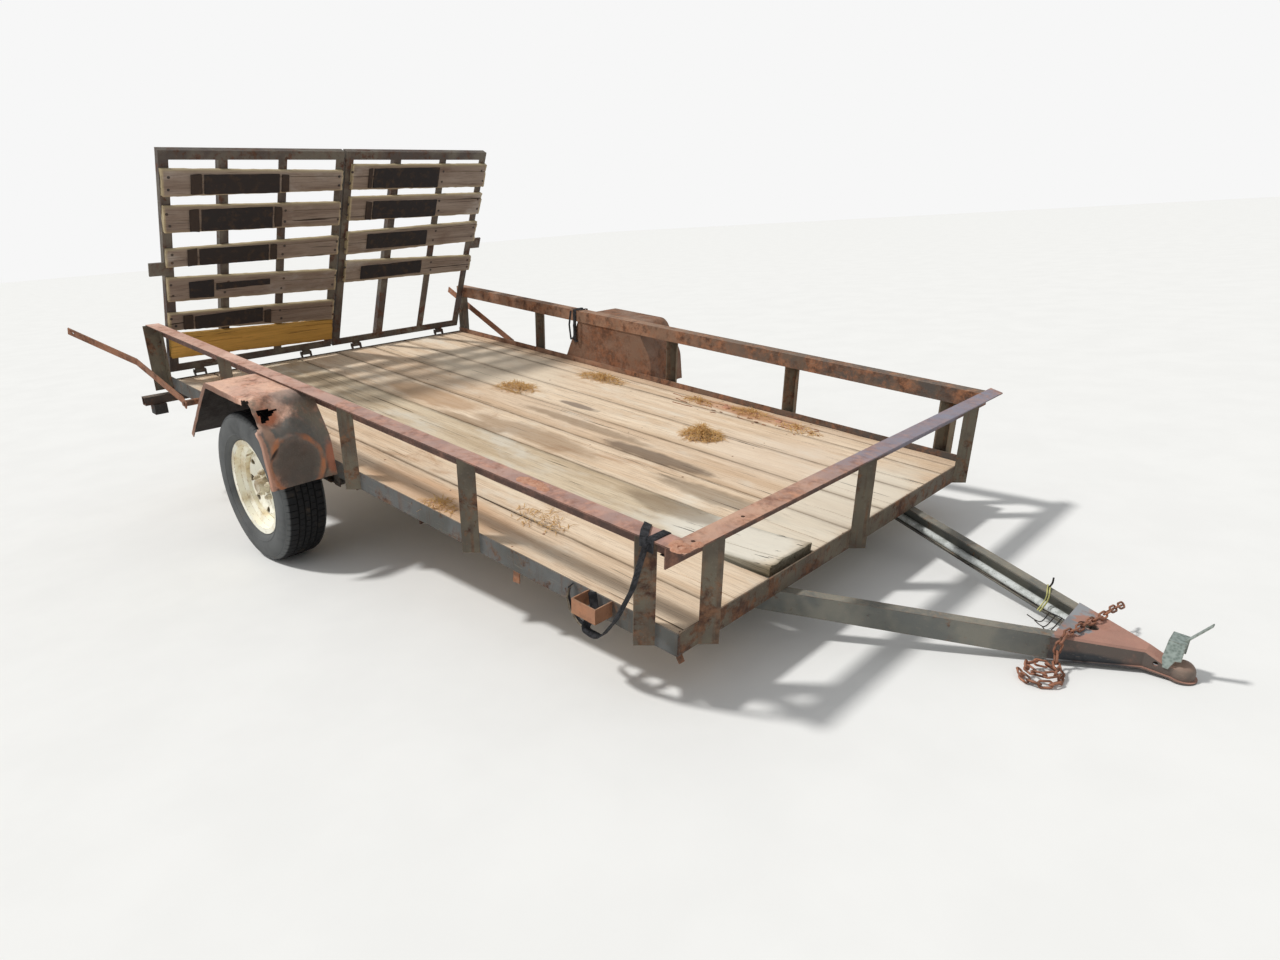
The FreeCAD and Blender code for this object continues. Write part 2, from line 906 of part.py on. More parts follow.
def fender_band(line, inset, low, high):
    """A band along a fender's line, between the line and an inset, from low to high across."""
    outer, outer_start, outer_end = fender_path(line, 0)
    inner, inner_start, inner_end = fender_path(line, inset)
    caps = [
        Part.LineSegment(outer_end, inner_end).toShape(),
        Part.LineSegment(inner_start, outer_start).toShape(),
    ]
    ring = Part.Wire(Part.__sortEdges__(outer + inner + caps))
    face = Part.Face(ring)
    face.translate(FreeCAD.Vector(0, low, 0))
    return face.extrude(FreeCAD.Vector(0, high - low, 0))


def fender_side(line, low, high):
    """A fender's inner side plate, filling its line."""
    outer, start, end = fender_path(line, 0)
    ring = Part.Wire(outer + [Part.LineSegment(end, start).toShape()])
    face = Part.Face(ring)
    face.translate(FreeCAD.Vector(0, low, 0))
    return face.extrude(FreeCAD.Vector(0, high - low, 0))


def prism(corners, along):
    """A solid swept from a flat outline along a vector."""
    points = [FreeCAD.Vector(*corner) for corner in corners]
    return Part.Face(Part.makePolygon(points + points[:1])).extrude(FreeCAD.Vector(*along))


def near_fender_damage():
    """What is torn out of the near fender: a hole in its sheet and a stretch of its outer edge."""
    normal = FreeCAD.Vector(*TEAR_NORMAL)
    corners = []
    for ahead, out, up in FENDER_TEAR:
        corners.append(FreeCAD.Vector(ahead, -HALF.value - out, up) - normal * TEAR_REACH)
    outer = HALF.value + S.fender_width.value
    low, high = TORN_EDGE_UP
    edge = [(ahead, inward - outer, low) for ahead, inward in FENDER_TORN_EDGE]
    return [prism(corners, normal * (TEAR_REACH * 2)), prism(edge, (0, 0, high - low))]


def fenders():
    """Folded fenders: a bent top, a side plate against the frame and a lip along the outer edge."""
    wall = S.fender_wall.value
    start = HALF.value
    end = start + S.fender_width.value
    for side, sign in SIDES.items():
        line = FENDER_LINES[side]
        top = fender_band(line, wall, sign * start, sign * end)
        plate = fender_side(line, sign * start, sign * (start + wall))
        lip = fender_band(line, S.fender_lip.value, sign * (end - wall), sign * end)
        shell = top.fuse([plate, lip])
        if side == "near":
            shell = shell.cut(near_fender_damage())
        node(f"fender_{side}", [solid(f"fender_shell_{side}", shell.removeSplitter())])


def tongue():
    """Two channels that run from the foremost cross-member to the coupler, open sides inward."""
    slope = tangent(S.tongue_angle)
    slant = cosine(S.tongue_angle)
    root = S.frame_length - S.tongue_root
    outer = S.tongue_spread + S.tongue_root * slope
    web = outer - S.tongue_wall / slant
    toe = outer - S.tongue_flange / slant
    top = -S.frame_height
    low = top - S.tongue_height
    length = (S.tongue_root + S.tongue_reach) / slant
    for side, sign in SIDES.items():
        sketch = DOC.addObject("Sketcher::SketchObject", f"tongue_outline_{side}")
        sketch.Placement = FreeCAD.Placement(
            FreeCAD.Vector(), FreeCAD.Rotation(FreeCAD.Vector(1, 1, 1), 120)
        )
        draw(
            sketch,
            [
                (outer * sign, top),
                (outer * sign, low),
                (toe * sign, low),
                (toe * sign, low + S.tongue_wall),
                (web * sign, low + S.tongue_wall),
                (web * sign, top - S.tongue_wall),
                (toe * sign, top - S.tongue_wall),
                (toe * sign, top),
            ],
        )
        channel = DOC.addObject("Part::Extrusion", f"tongue_channel_{side}")
        channel.Base = sketch
        channel.DirMode = "Custom"
        lean = math.radians(S.tongue_angle.value)
        channel.Dir = FreeCAD.Vector(math.cos(lean), -sign * math.sin(lean), 0)
        bind(channel, "LengthFwd", length)
        channel.Solid = True
        bind(channel, "Placement.Base.x", root)
        node(f"tongue_{side}", [channel])
    conduit(web, root, low)


def conduit(web, root, low):
    """A pipe lying on the far channel's lower flange, against its web."""
    radius = S.conduit_radius.value
    lean = math.radians(S.tongue_angle.value)
    along = FreeCAD.Vector(math.cos(lean), -math.sin(lean), 0)
    across = FreeCAD.Vector(math.sin(lean), math.cos(lean), 0)
    start = FreeCAD.Vector(root.value, web.value, low.value + S.tongue_wall.value + radius)
    gap = S.conduit_clearance.value
    start = start + along * S.conduit_start.value - across * (radius + gap)
    start.z += gap
    pipe = Part.makeCylinder(radius, S.conduit_length.value, start, along)
    bore = Part.makeCylinder(S.conduit_bore.value, S.conduit_length.value, start, along)
    node("conduit", [solid("conduit_pipe", pipe.cut(bore))])


def coupler_outline(extra, nose):
    """Half outline of the coupler in plan as points from the rear to the neck's end."""
    slope = math.tan(math.radians(S.tongue_angle.value))
    shift = extra / math.cos(math.radians(S.tongue_angle.value))
    rear = COUPLER_START.value
    neck = S.coupler_neck.value + extra
    wide = S.tongue_spread.value - S.coupler_rear.value * slope + shift
    neck_start = rear + (wide - neck) / slope
    half = [(rear, wide), (neck_start, neck), (nose, neck)]
    return [FreeCAD.Vector(x, y, 0) for x, y in half]


def coupler_slab(extra, nose, low, high):
    """A slab of the coupler's plan between two heights."""
    half = coupler_outline(extra, nose)
    mirrored = [FreeCAD.Vector(p.x, -p.y, 0) for p in reversed(half)]
    ring = Part.makePolygon(half + mirrored + half[:1])
    slab = Part.Face(ring).extrude(FreeCAD.Vector(0, 0, high - low))
    slab.translate(FreeCAD.Vector(0, 0, low))
    return slab


def coupler_top_line(nose, down):
    """The coupler's top in side view, moved down: level, then falling from the hood to the saddle."""
    top = COUPLER_TOP.value - down
    saddle = top - S.saddle_drop.value
    return [
        (COUPLER_START.value, top),
        (coupler_outline(S.coupler_wall.value, nose)[1].x, top),
        (SOCKET_AHEAD.value - S.saddle_back.value, saddle),
        (nose, saddle),
    ]


def coupler_foot_line(nose, up):
    """The skirts' foot in side view, moved up: rising from the rear edge to the neck, then level."""
    top = COUPLER_TOP.value
    neck_start = coupler_outline(S.coupler_wall.value, nose)[1].x
    low = -socket_foot().value + up
    return [(nose, low), (neck_start, low), (COUPLER_START.value, top - S.coupler_skirt.value + up)]


def side_view(outline):
    """A solid wider than the coupler with an outline in side view."""
    reach = S.tongue_spread.value
    return prism([(x, -reach, z) for x, z in outline], (0, reach * 2, 0))


def coupler_bevels(nose):
    """What is cut from the pressing's upper edges, along the flanks, the hood and the neck."""
    bevel, over = S.coupler_bevel.value, S.coupler_wall.value
    rear, neck, _ = coupler_outline(over, nose)
    _, hood, saddle, end = [FreeCAD.Vector(x, neck.y, z) for x, z in coupler_top_line(nose, 0)]
    slope = math.tan(math.radians(S.tongue_angle.value))
    first = FreeCAD.Vector(rear.x - over, rear.y + over * slope, hood.z)
    tools = []
    for start, stop in ((first, hood), (hood, saddle), (saddle, end + FreeCAD.Vector(over, 0, 0))):
        for sign in SIDES.values():
            corners = [
                (start.x, (start.y - bevel - over) * sign, start.z + over),
                (start.x, (start.y + over) * sign, start.z + over),
                (start.x, (start.y + over) * sign, start.z - bevel - over),
            ]
            tools.append(prism(corners, (stop.x - start.x, (stop.y - start.y) * sign, stop.z - start.z)))
    return tools


def coupler_body(nose):
    """The pressing's outside with its upper edges bevelled."""
    depth = S.frame_height.value + S.coupler_skirt.value
    block = coupler_slab(S.coupler_wall.value, nose, -depth, COUPLER_TOP.value)
    block = block.common(side_view(coupler_top_line(nose, 0) + coupler_foot_line(nose, 0)))
    return block.cut(coupler_bevels(nose))


def coupler():
    """Pressed coupler: plate and skirts over the channels, a hooded neck, and the ball socket."""
    wall = S.coupler_wall.value
    lip = S.coupler_lip.value
    top = COUPLER_TOP.value
    low = -socket_foot().value
    centre = SOCKET_AHEAD.value
    bore = S.ball_radius.value + S.ball_clearance.value
    outer = bore + S.socket_wall.value
    depth = S.frame_height.value + S.coupler_skirt.value
    hollow_end = centre - bore - wall
    foot = coupler_foot_line(centre, 0) + [(x, z) for x, z in reversed(coupler_foot_line(centre, wall))]
    flange = coupler_slab(wall + lip, centre, -depth, top).common(side_view(foot))
    hollow = coupler_slab(0, hollow_end, -depth - wall, -S.frame_height.value)
    roof = coupler_top_line(hollow_end, S.coupler_plate.value)
    below = [(hollow_end, -depth - wall), (COUPLER_START.value, -depth - wall)]
    hollow = hollow.common(side_view(roof + below))
    shell = coupler_body(centre).fuse(flange).cut(hollow)
    ball_up = -S.dome_drop.value - outer
    ball = FreeCAD.Vector(centre, 0, top + ball_up)
    dome = Part.makeSphere(outer, ball, FreeCAD.Vector(0, 0, 1), 0, 90, 360)
    drum = Part.makeCylinder(outer, top + ball_up - low, FreeCAD.Vector(centre, 0, low))
    rim = Part.makeCylinder(outer + lip, wall, FreeCAD.Vector(centre, 0, low))
    seat = Part.makeSphere(bore, ball)
    throat = Part.makeCylinder(bore, top + ball_up - low, FreeCAD.Vector(centre, 0, low))
    pin = Part.makeCylinder(
        S.pin_hole_radius.value,
        outer * 4,
        FreeCAD.Vector(centre - S.pin_hole_back.value, -outer * 2, top - S.pin_hole_down.value),
        FreeCAD.Vector(0, 1, 0),
    )
    shell = shell.fuse([dome, drum, rim]).cut([seat, throat, chain_slot(), pin]).removeSplitter()
    node("coupler", [solid("coupler_pressing", shell)])


def chain_slot():
    """The oblong hole through the plate that the chain passes."""
    half_slot = (S.chain_hole_length.value - S.chain_hole_width.value) / 2
    ahead = COUPLER_START.value + S.chain_hole_ahead.value
    radius = S.chain_hole_width.value / 2
    depth = S.coupler_plate.value * 3
    low = COUPLER_TOP.value - depth / 2
    slot = Part.makeBox(
        half_slot * 2, radius * 2, depth, FreeCAD.Vector(ahead - half_slot, -radius, low)
    )
    for shift in (-half_slot, half_slot):
        slot = slot.fuse(Part.makeCylinder(radius, depth, FreeCAD.Vector(ahead + shift, 0, low)))
    return slot


def coupler_latch():
    """Latch lifted over the socket on two ears beside the neck, with its lever raised."""
    wall = S.latch_wall
    rear = SOCKET_AHEAD - S.latch_back
    front = rear + S.latch_length
    top = COUPLER_TOP + S.latch_rise
    half = S.coupler_neck + S.coupler_wall + S.latch_gap
    ear = rear + S.latch_ear_width / 2
    ear_low = COUPLER_TOP - S.latch_ear_down
    cheeks = []
    for side, sign in SIDES.items():
        corners = [
            (rear, COUPLER_TOP),
            (ear, ear_low),
            (ear + S.latch_ear_width, ear_low),
            (front - S.latch_ear_width, COUPLER_TOP),
            (front, COUPLER_TOP + wall),
            (front, top),
            (rear + wall, top),
        ]
        faces = (half * sign, (half + wall) * sign)
        cheeks.append(pad(f"latch_cheek_{side}", "XZ_Plane", corners, faces[0], faces[1]))
    bridge = box("latch_bridge", (rear + wall, front), (-half - wall, half + wall), (top - wall, top))
    lever = Part.makeBox(S.lever_length.value, S.lever_width.value, wall.value)
    lever.translate(FreeCAD.Vector(0, -S.lever_width.value / 2, -wall.value))
    lever.rotate(FreeCAD.Vector(), FreeCAD.Vector(0, 1, 0), -S.lever_angle.value)
    lever.translate(FreeCAD.Vector((front - wall * 2).value, 0, top.value))
    node("coupler_latch", [fuse("latch", cheeks + [bridge, solid("latch_lever", lever)])])


def running_gear():
    """Axle tube with spindles, leaf springs on top of it, hangers and U-bolts."""
    centre = (S.axle_ahead, 0, -S.axle_down)
    tube = through_rod("axle_tube", S.axle_radius, centre, "y", HALF + S.axle_over)
    spindle = through_rod("axle_spindle", S.spindle_radius, centre, "y", HALF + S.spindle_over)
    node("axle", [fuse("axle_beam", [tube, spindle])])
    springs = []
    hangers = []
    clamps = []
    seat = S.axle_radius - S.axle_down
    half = S.spring_width / 2
    eye_up = seat + S.spring_leaf * 2 + S.eye_radius
    for side, sign in SIDES.items():
        middle = (HALF - S.spring_inset) * sign
        faces = (middle - half, middle + half)
        leaves = []
        for index, share in enumerate(SPRING_LEAVES):
            reach = S.spring_span * (share / 2)
            bottom = seat + S.spring_leaf * index
            leaves.append(
                box(
                    f"leaf_{side}_{index}",
                    (S.axle_ahead - reach, S.axle_ahead + reach),
                    faces,
                    (bottom, bottom + S.spring_leaf),
                )
            )
        eyes = []
        bores = []
        for end, way in (("rear", -1), ("front", 1)):
            ahead = S.axle_ahead + S.spring_span / 2 * way
            eye = (ahead, middle, eye_up)
            eyes.append(through_rod(f"eye_{side}_{end}", S.eye_radius, eye, "y", half))
            bores.append(through_rod(f"eye_bore_{side}_{end}", S.eye_bore, eye, "y", S.spring_width))
            hangers.append(hanger(f"{side}_{end}", eye, half))
        springs.append(cut(f"spring_{side}", fuse(f"spring_body_{side}", leaves + eyes), bores))
        clamps.append(clamp(side, middle, seat))
    node("leaf_springs", springs)
    node("spring_hangers", hangers)
    node("axle_u_bolts", clamps)


def hanger(name, eye, half):
    """Two cheeks from the frame's foot down past a spring eye, with the bolt through it."""
    ahead, middle, up = eye
    parts = []
    gap = S.eye_clearance
    for index, sign in enumerate((-1, 1)):
        face = middle + (half + gap) * sign
        parts.append(
            box(
                f"cheek_{name}_{index}",
                (ahead - S.hanger_width / 2, ahead + S.hanger_width / 2),
                (face, face + S.hanger_wall * sign),
                (up - S.eye_radius, -S.frame_height),
            )
        )
    bolt = S.eye_bore - gap
    parts.append(through_rod(f"hanger_bolt_{name}", bolt, eye, "y", half + gap + S.hanger_wall * 2))
    return fuse(f"hanger_{name}", parts)


def clamp(side, middle, seat):
    """A top plate over the spring with two U-bolts under the axle."""
    plate_low = seat + S.spring_leaf * 3
    reach = S.axle_radius + S.bolt_radius
    across = S.spring_width / 2 + S.bolt_radius + S.eye_clearance
    plate = box(
        f"clamp_plate_{side}",
        (S.axle_ahead - reach - S.bolt_radius * 2, S.axle_ahead + reach + S.bolt_radius * 2),
        (middle - across - S.bolt_radius * 1.5, middle + across + S.bolt_radius * 1.5),
        (plate_low, plate_low + S.tab_wall),
    )
    parts = [plate]
    for index, sign in enumerate((-1, 1)):
        left = (middle + across * sign).value
        radius = reach.value
        bend_up = -S.axle_down.value
        top_up = (plate_low + S.tab_wall + S.bolt_radius * 2).value
        ahead = S.axle_ahead.value
        rear_top = FreeCAD.Vector(ahead - radius, left, top_up)
        rear_low = FreeCAD.Vector(ahead - radius, left, bend_up)
        bottom = FreeCAD.Vector(ahead, left, bend_up - radius)
        front_low = FreeCAD.Vector(ahead + radius, left, bend_up)
        front_top = FreeCAD.Vector(ahead + radius, left, top_up)
        path = Part.Wire(
            [
                Part.LineSegment(rear_top, rear_low).toShape(),
                Part.Arc(rear_low, bottom, front_low).toShape(),
                Part.LineSegment(front_low, front_top).toShape(),
            ]
        )
        ring = Part.Wire(
            Part.makeCircle(S.bolt_radius.value - 0.1, rear_top, FreeCAD.Vector(0, 0, -1))
        )
        parts.append(solid(f"u_bolt_{side}_{index}", path.makePipeShell([ring], True, False)))
    return fuse(f"clamp_{side}", parts)


def wheel_placement(sign):
    """A wheel's place on the axle, with its outer face outward."""
    turn = FreeCAD.Rotation(FreeCAD.Vector(0, 0, 1), 0 if sign == FAR else 180)
    base = FreeCAD.Vector(S.axle_ahead.value, sign * WHEEL_CENTRE.value, -S.axle_down.value)
    return REST.multiply(FreeCAD.Placement(base, turn))


def tyre(side):
    """Tyre section with a flat tread and bulging walls, turned about the axle."""
    table = TYRE_OUTSIDE + TYRE_INSIDE
    half = [(S.tyre_radius - down, S.tyre_half_tread + out) for down, out in table]
    mirrored = [(radius, -across) for radius, across in reversed(half)]
    return turned(f"tyre_section_{side}", "XY_Plane", half + mirrored)


def rim(side):
    """Steel rim with a drop well and a pierced dish."""
    wall = S.rim_wall
    flange, half = S.rim_radius, S.rim_half
    seat, well = S.rim_seat, S.rim_well
    ledge, well_half = S.rim_ledge, S.rim_well_half
    inner_ledge = ledge + wall * 0.75
    root = S.dish_root_out
    corners = [
        (flange, half),
        (flange, half - wall),
        (seat, half - wall * 1.5),
        (seat, ledge),
        (well, well_half),
        (well, -well_half),
        (seat, -ledge),
        (seat, wall * 1.5 - half),
        (flange, wall - half),
        (flange, -half),
        (seat - wall, wall * 0.5 - half),
        (seat - wall, -inner_ledge),
        (well - wall, -well_half - wall),
        (well - wall, root - wall * 1.5),
        (S.dish_crown, S.dish_crown_out - wall),
        (S.dish_face, S.dish_face_out - wall),
        (S.disc_bore, S.dish_face_out - wall),
        (S.disc_bore, S.dish_face_out),
        (S.dish_face, S.dish_face_out),
        (S.dish_crown, S.dish_crown_out),
        (well - wall, root),
        (well - wall, well_half + wall),
        (seat - wall, inner_ledge),
        (seat - wall, half - wall * 0.5),
    ]
    body = turned(f"rim_section_{side}", "XY_Plane", corners)
    holes = []
    for index in range(HAND_HOLES):
        angle = 2 * math.pi * index / HAND_HOLES
        centre = (
            S.hand_hole_circle * math.cos(angle),
            S.dish_crown_out,
            S.hand_hole_circle * math.sin(angle),
        )
        reach = S.dish_face_out
        holes.append(through_rod(f"hand_hole_{side}_{index}", S.hand_hole_radius, centre, "y", reach))
    for index in range(NUTS):
        centre = stud_place(index, S.dish_face_out)
        radius = S.stud_radius + S.stud_clearance
        holes.append(through_rod(f"stud_hole_{side}_{index}", radius, centre, "y", S.rim_wall * 3))
    return cut(f"rim_pierced_{side}", body, holes)


def stud_place(index, out):
    """A point on a stud's axis, so far out from the wheel's centre plane."""
    angle = math.radians(360 / NUTS * index + FIRST_NUT_TURN)
    return (S.stud_circle * math.cos(angle), out, S.stud_circle * math.sin(angle))


def hub(side):
    """Hub with its flange behind the dish, grease cap outside and wheel nuts."""
    bore = S.spindle_radius + S.bearing_clearance
    bore_end = S.spindle_over - S.wheel_over + S.spindle_relief
    swell = S.hub_radius + S.hub_swell
    face = S.dish_face_out - S.rim_wall - S.hub_gap
    cap = S.hub_radius - S.hub_swell
    corners = [
        (bore, -S.hub_back),
        (S.hub_radius, -S.hub_back),
        (swell, -S.hub_step_back),
        (swell, S.hub_flange_out),
        (S.hub_flange, S.hub_flange_out),
        (S.hub_flange, face),
        (S.hub_radius, face),
        (cap, S.cap_side_out),
        (cap - S.hub_swell, S.cap_edge_out),
        (0, S.cap_out),
        (0, bore_end),
        (bore, bore_end),
    ]
    parts = [turned(f"hub_section_{side}", "XY_Plane", corners)]
    for index in range(NUTS):
        spot = stud_place(index, S.nut_start)
        parts.append(rod(f"nut_{side}_{index}", S.nut_radius, spot, "y", S.nut_length))
        spot = stud_place(index, S.stud_start)
        parts.append(rod(f"stud_{side}_{index}", S.stud_radius, spot, "y", S.stud_length))
    return fuse(f"hub_{side}_turned", parts)


def wheels():
    """Two wheels, each of tyre, rim and hub."""
    for side, sign in SIDES.items():
        spot = wheel_placement(sign)
        node(f"tyre_{side}", [tyre(side)], spot)
        node(f"rim_{side}", [rim(side)], spot)
        node(f"hub_{side}", [hub(side)], spot)


def gate_edges(side):
    """Right and left edges of a gate."""
    inner = S.gate_centre_gap / 2
    outer = inner + S.gate_width
    return (-outer, -inner) if side == "near" else (inner, outer)


def gate_frame(side):
    """Angle-iron ladder: top and bottom bars, four uprights, hinge knuckles and a catch."""
    right, left = gate_edges(side)
    bars = []
    for name, low in (("bottom", S.gate_foot), ("top", S.gate_height - S.gate_bar)):
        flange_low = low if name == "bottom" else S.gate_height - S.gate_wall
        bars.append(box(f"{name}_bar_{side}", (-S.gate_wall, 0), (right, left), (low, low + S.gate_bar)))
        bars.append(
            box(
                f"{name}_flange_{side}",
                (-S.gate_flange, 0),
                (right, left),
                (flange_low, flange_low + S.gate_wall),
            )
        )
    low = S.gate_foot + S.gate_wall
    high = S.gate_height - S.gate_wall
    for index, centre in enumerate(GATE_UPRIGHTS[side]):
        edges = (as_size(centre) - S.gate_bar / 2, as_size(centre) + S.gate_bar / 2)
        bars.append(box(f"upright_{side}_{index}", (-S.gate_wall, 0), edges, (low, high)))
        toe = edges[0] if index < 2 else edges[1] - S.gate_wall
        bars.append(
            box(
                f"upright_flange_{side}_{index}",
                (-S.gate_flange, 0),
                (toe, toe + S.gate_wall),
                (low, high),
            )
        )
    outer, sign = (right, NEAR) if side == "near" else (left, FAR)
    bars.append(
        box(
            f"catch_{side}",
            (-S.gate_wall * 2, 0),
            (outer - S.gate_wall * sign, outer + S.catch_reach * sign),
            (S.catch_low, S.catch_low + S.catch_height),
        )
    )
    bores = []
    for index, centre in enumerate(GATE_PINS_LEFT):
        if (centre < 0) != (side == "near"):
            continue
        half = S.knuckle_length / 2
        bars.append(through_rod(f"knuckle_{index}", S.knuckle_radius, (0, centre, 0), "y", half))
        bars.append(
            box(
                f"knuckle_plate_{index}",
                (-S.gate_wall, 0),
                (as_size(centre) - half, as_size(centre) + half),
                (0, S.gate_foot + S.gate_wall),
            )
        )
        bores.append(
            through_rod(
                f"knuckle_bore_{index}",
                S.pin_radius + S.pin_clearance,
                (0, centre, 0),
                "y",
                S.knuckle_length,
            )
        )
    node(f"gate_frame_{side}", [cut(f"gate_ladder_{side}", fuse(f"gate_bars_{side}", bars), bores)], GATE_REST)


def lath(name, ends, right, left):
    """A rough board across the gate, on the deck side of its frame."""
    corners = [(ends[0], right[0]), (ends[1], left[0]), (ends[1], left[1]), (ends[0], right[1])]
    return pad(name, "YZ_Plane", corners, 0, S.lath_thick)


def gates():
    """Both gates with their laths, mats and the one wider board."""
    for side in SIDES:
        gate_frame(side)
        table = LATHS[side]
        laths = []
        for index, row in enumerate(table["rows"]):
            laths.append(lath(f"lath_{side}_{index}", table["ends"], row["right"], row["left"]))
        node(f"gate_laths_{side}", laths, GATE_REST)
        mats = []
        for index, mat in enumerate(MATS[side]):
            mats.append(
                box(
                    f"mat_{side}_{index}",
                    (S.lath_thick, S.lath_thick + S.mat_thick),
                    mat["across"],
                    mat["up"],
                )
            )
        node(f"gate_mats_{side}", mats, GATE_REST)
    board = lath("wide_board", BOARD_ROW["ends"], BOARD_ROW["right"], BOARD_ROW["left"])
    node("gate_board", [board], GATE_REST)


def gate_pins():
    """Hinge pins held by two tabs each on the rear frame's face."""
    hinges = []
    back, down = S.gate_back, S.gate_down
    for index, left in enumerate(GATE_PINS_LEFT):
        parts = []
        inner = S.knuckle_length / 2 + S.tab_gap
        for sign in (-1, 1):
            corners = [
                (0, -S.rear_drop * 2),
                (0, -S.rear_drop),
                (S.knuckle_radius - 1 - back, S.knuckle_radius - down),
                (1 - S.knuckle_radius - back, S.knuckle_radius - down),
                (1 - S.knuckle_radius - back, 1 - S.knuckle_radius - down),
            ]
            face = as_size(left) + inner * sign
            name = f"tab_{index}_{'left' if sign > 0 else 'right'}"
            parts.append(pad(name, "XZ_Plane", corners, face, face + S.tab_wall * sign))
        reach = inner + S.tab_wall * 1.5
        parts.append(through_rod(f"hinge_pin_{index}", S.pin_radius, (-back, left, -down), "y", reach))
        hinges.append(fuse(f"hinge_{index}", parts))
    node("gate_pins", hinges)


def stay(side, sign):
    """A flat bar with a hole at each end, straight or bent outward as it was left."""
    pivot = FreeCAD.Vector(
        S.stay_ahead.value, sign * (HALF + S.stay_stand_off).value, -S.stay_down.value
    )
    half_width = S.stay_width.value / 2
    thick = S.stay_thick.value
    middle = STAY_POINTS[side][1]
    end = STAY_POINTS[side][2]
    climb = math.atan2(middle[1], -middle[0])
    first = math.hypot(math.hypot(middle[0], middle[1]), middle[2])
    second = S.stay_length.value - first
    splay_one = math.atan2(middle[2], math.hypot(middle[0], middle[1]))
    run = math.hypot(end[0] - middle[0], end[1] - middle[1])
    splay_two = math.atan2(end[2] - middle[2], run)
    lead = S.lug_radius.value * 2
    lengths = [(lead, 0.0), (first - lead, splay_one), (second, splay_two)]
    spine = [FreeCAD.Vector(0, 0, 0)]
    for length, splay in lengths:
        step = FreeCAD.Vector(-math.cos(splay), sign * math.sin(splay), 0) * length
        spine.append(spine[-1] + step)
    spine[0].x += half_width
    outer = []
    for index, point in enumerate(spine):
        splays = [splay for _, splay in lengths]
        before = splays[max(index - 1, 0)]
        after = splays[min(index, len(splays) - 1)]
        splay = (before + after) / 2
        widen = 1 / math.cos((after - before) / 2)
        outward = FreeCAD.Vector(math.sin(splay), sign * math.cos(splay), 0)
        outer.append(point + outward * (thick * widen))
    bar = Part.Face(Part.makePolygon(spine + outer[::-1] + spine[:1]))
    bar = bar.extrude(FreeCAD.Vector(0, 0, half_width * 2))
    bar.translate(FreeCAD.Vector(0, 0, -half_width))
    reach = thick * 30
    hole = Part.makeCylinder(
        S.stay_hole_radius.value, reach, FreeCAD.Vector(0, -reach / 2, 0), FreeCAD.Vector(0, 1, 0)
    )
    tip = spine[-1] + (spine[-2] - spine[-1]).normalize() * (S.stay_end.value * 2)
    away = FreeCAD.Vector(math.sin(splay_two), sign * math.cos(splay_two), 0)
    far_hole = Part.makeCylinder(S.stay_hole_radius.value, reach, tip - away * (reach / 2), away)
    bar = bar.cut([hole, far_hole])
    bar.rotate(FreeCAD.Vector(), FreeCAD.Vector(0, 1, 0), math.degrees(climb))
    bar.translate(pivot)
    node(f"stay_{side}", [solid(f"stay_bar_{side}", bar)])


def stays():
    """Both stays, and the lugs that carry them on the side frames."""
    lugs = []
    for side, sign in SIDES.items():
        stay(side, sign)
        face = HALF * sign
        length = S.stay_stand_off - S.lug_gap
        pin_length = S.stay_stand_off + S.stay_thick + S.lug_gap
        spot = (S.stay_ahead, face, -S.stay_down)
        start = spot if sign == FAR else (spot[0], face - length, spot[2])
        pin_start = spot if sign == FAR else (spot[0], face - pin_length - S.lug_head, spot[2])
        head_start = (spot[0], face + pin_length * sign, spot[2])
        if sign == NEAR:
            head_start = (spot[0], face - pin_length - S.lug_head, spot[2])
        lugs.append(
            fuse(
                f"lug_{side}",
                [
                    rod(f"lug_boss_{side}", S.lug_radius, start, "y", length),
                    rod(f"lug_pin_{side}", S.lug_pin_radius, pin_start, "y", pin_length + S.lug_head),
                    rod(f"lug_head_{side}", S.lug_head_radius, head_start, "y", S.lug_head),
                ],
            )
        )
    node("stay_lugs", lugs)


def rear_beam():
    """Cross tube under the rear frame on two spacers, and the empty lamp boxes below its ends."""
    top = -S.beam_drop
    low = top - S.beam_height
    reach = HALF + S.beam_over
    outside = box("beam_outside", (0, S.beam_depth), (-reach, reach), (low, top))
    inside = box(
        "beam_inside",
        (S.beam_wall, S.beam_depth - S.beam_wall),
        (-reach - S.beam_wall, reach + S.beam_wall),
        (low + S.beam_wall, top - S.beam_wall),
    )
    tube = cut("beam_tube", outside, [inside])
    spacers = []
    for side, sign in SIDES.items():
        spacers.append(
            box(
                f"spacer_{side}",
                (S.frame_wall, S.beam_depth),
                (TOE * sign, HALF * sign),
                (top, -S.frame_height),
            )
        )
    node("rear_beam", [fuse("beam_and_spacers", [tube] + spacers)])
    boxes = []
    for side, sign in SIDES.items():
        inner = (HALF + S.lamp_over) * sign
        outer = (HALF + S.lamp_over + S.lamp_width) * sign
        shell = box(f"lamp_shell_{side}", (0, S.lamp_depth), (inner, outer), (low - S.lamp_height, low))
        hollow = box(
            f"lamp_hollow_{side}",
            (-S.lamp_wall, S.lamp_depth - S.lamp_wall),
            (inner + S.lamp_wall * sign, outer - S.lamp_wall * sign),
            (low - S.lamp_height + S.lamp_wall, low - S.lamp_wall),
        )
        boxes.append(cut(f"lamp_box_{side}", shell, [hollow]))
    node("lamp_boxes", boxes)


def lamp_guard():
    """U of flat bar on the near side frame."""
    start = S.frame_length - S.guard_back
    end = start + S.guard_length
    face = -HALF
    out = -HALF - S.guard_reach
    wall = S.guard_wall
    corners = [
        (start, face),
        (start, out),
        (end, out),
        (end, face),
        (end - wall, face),
        (end - wall, out + wall),
        (start + wall, out + wall),
        (start + wall, face),
    ]
    node("lamp_guard", [pad("guard_bar", "XY_Plane", corners, -S.guard_height, 0)])


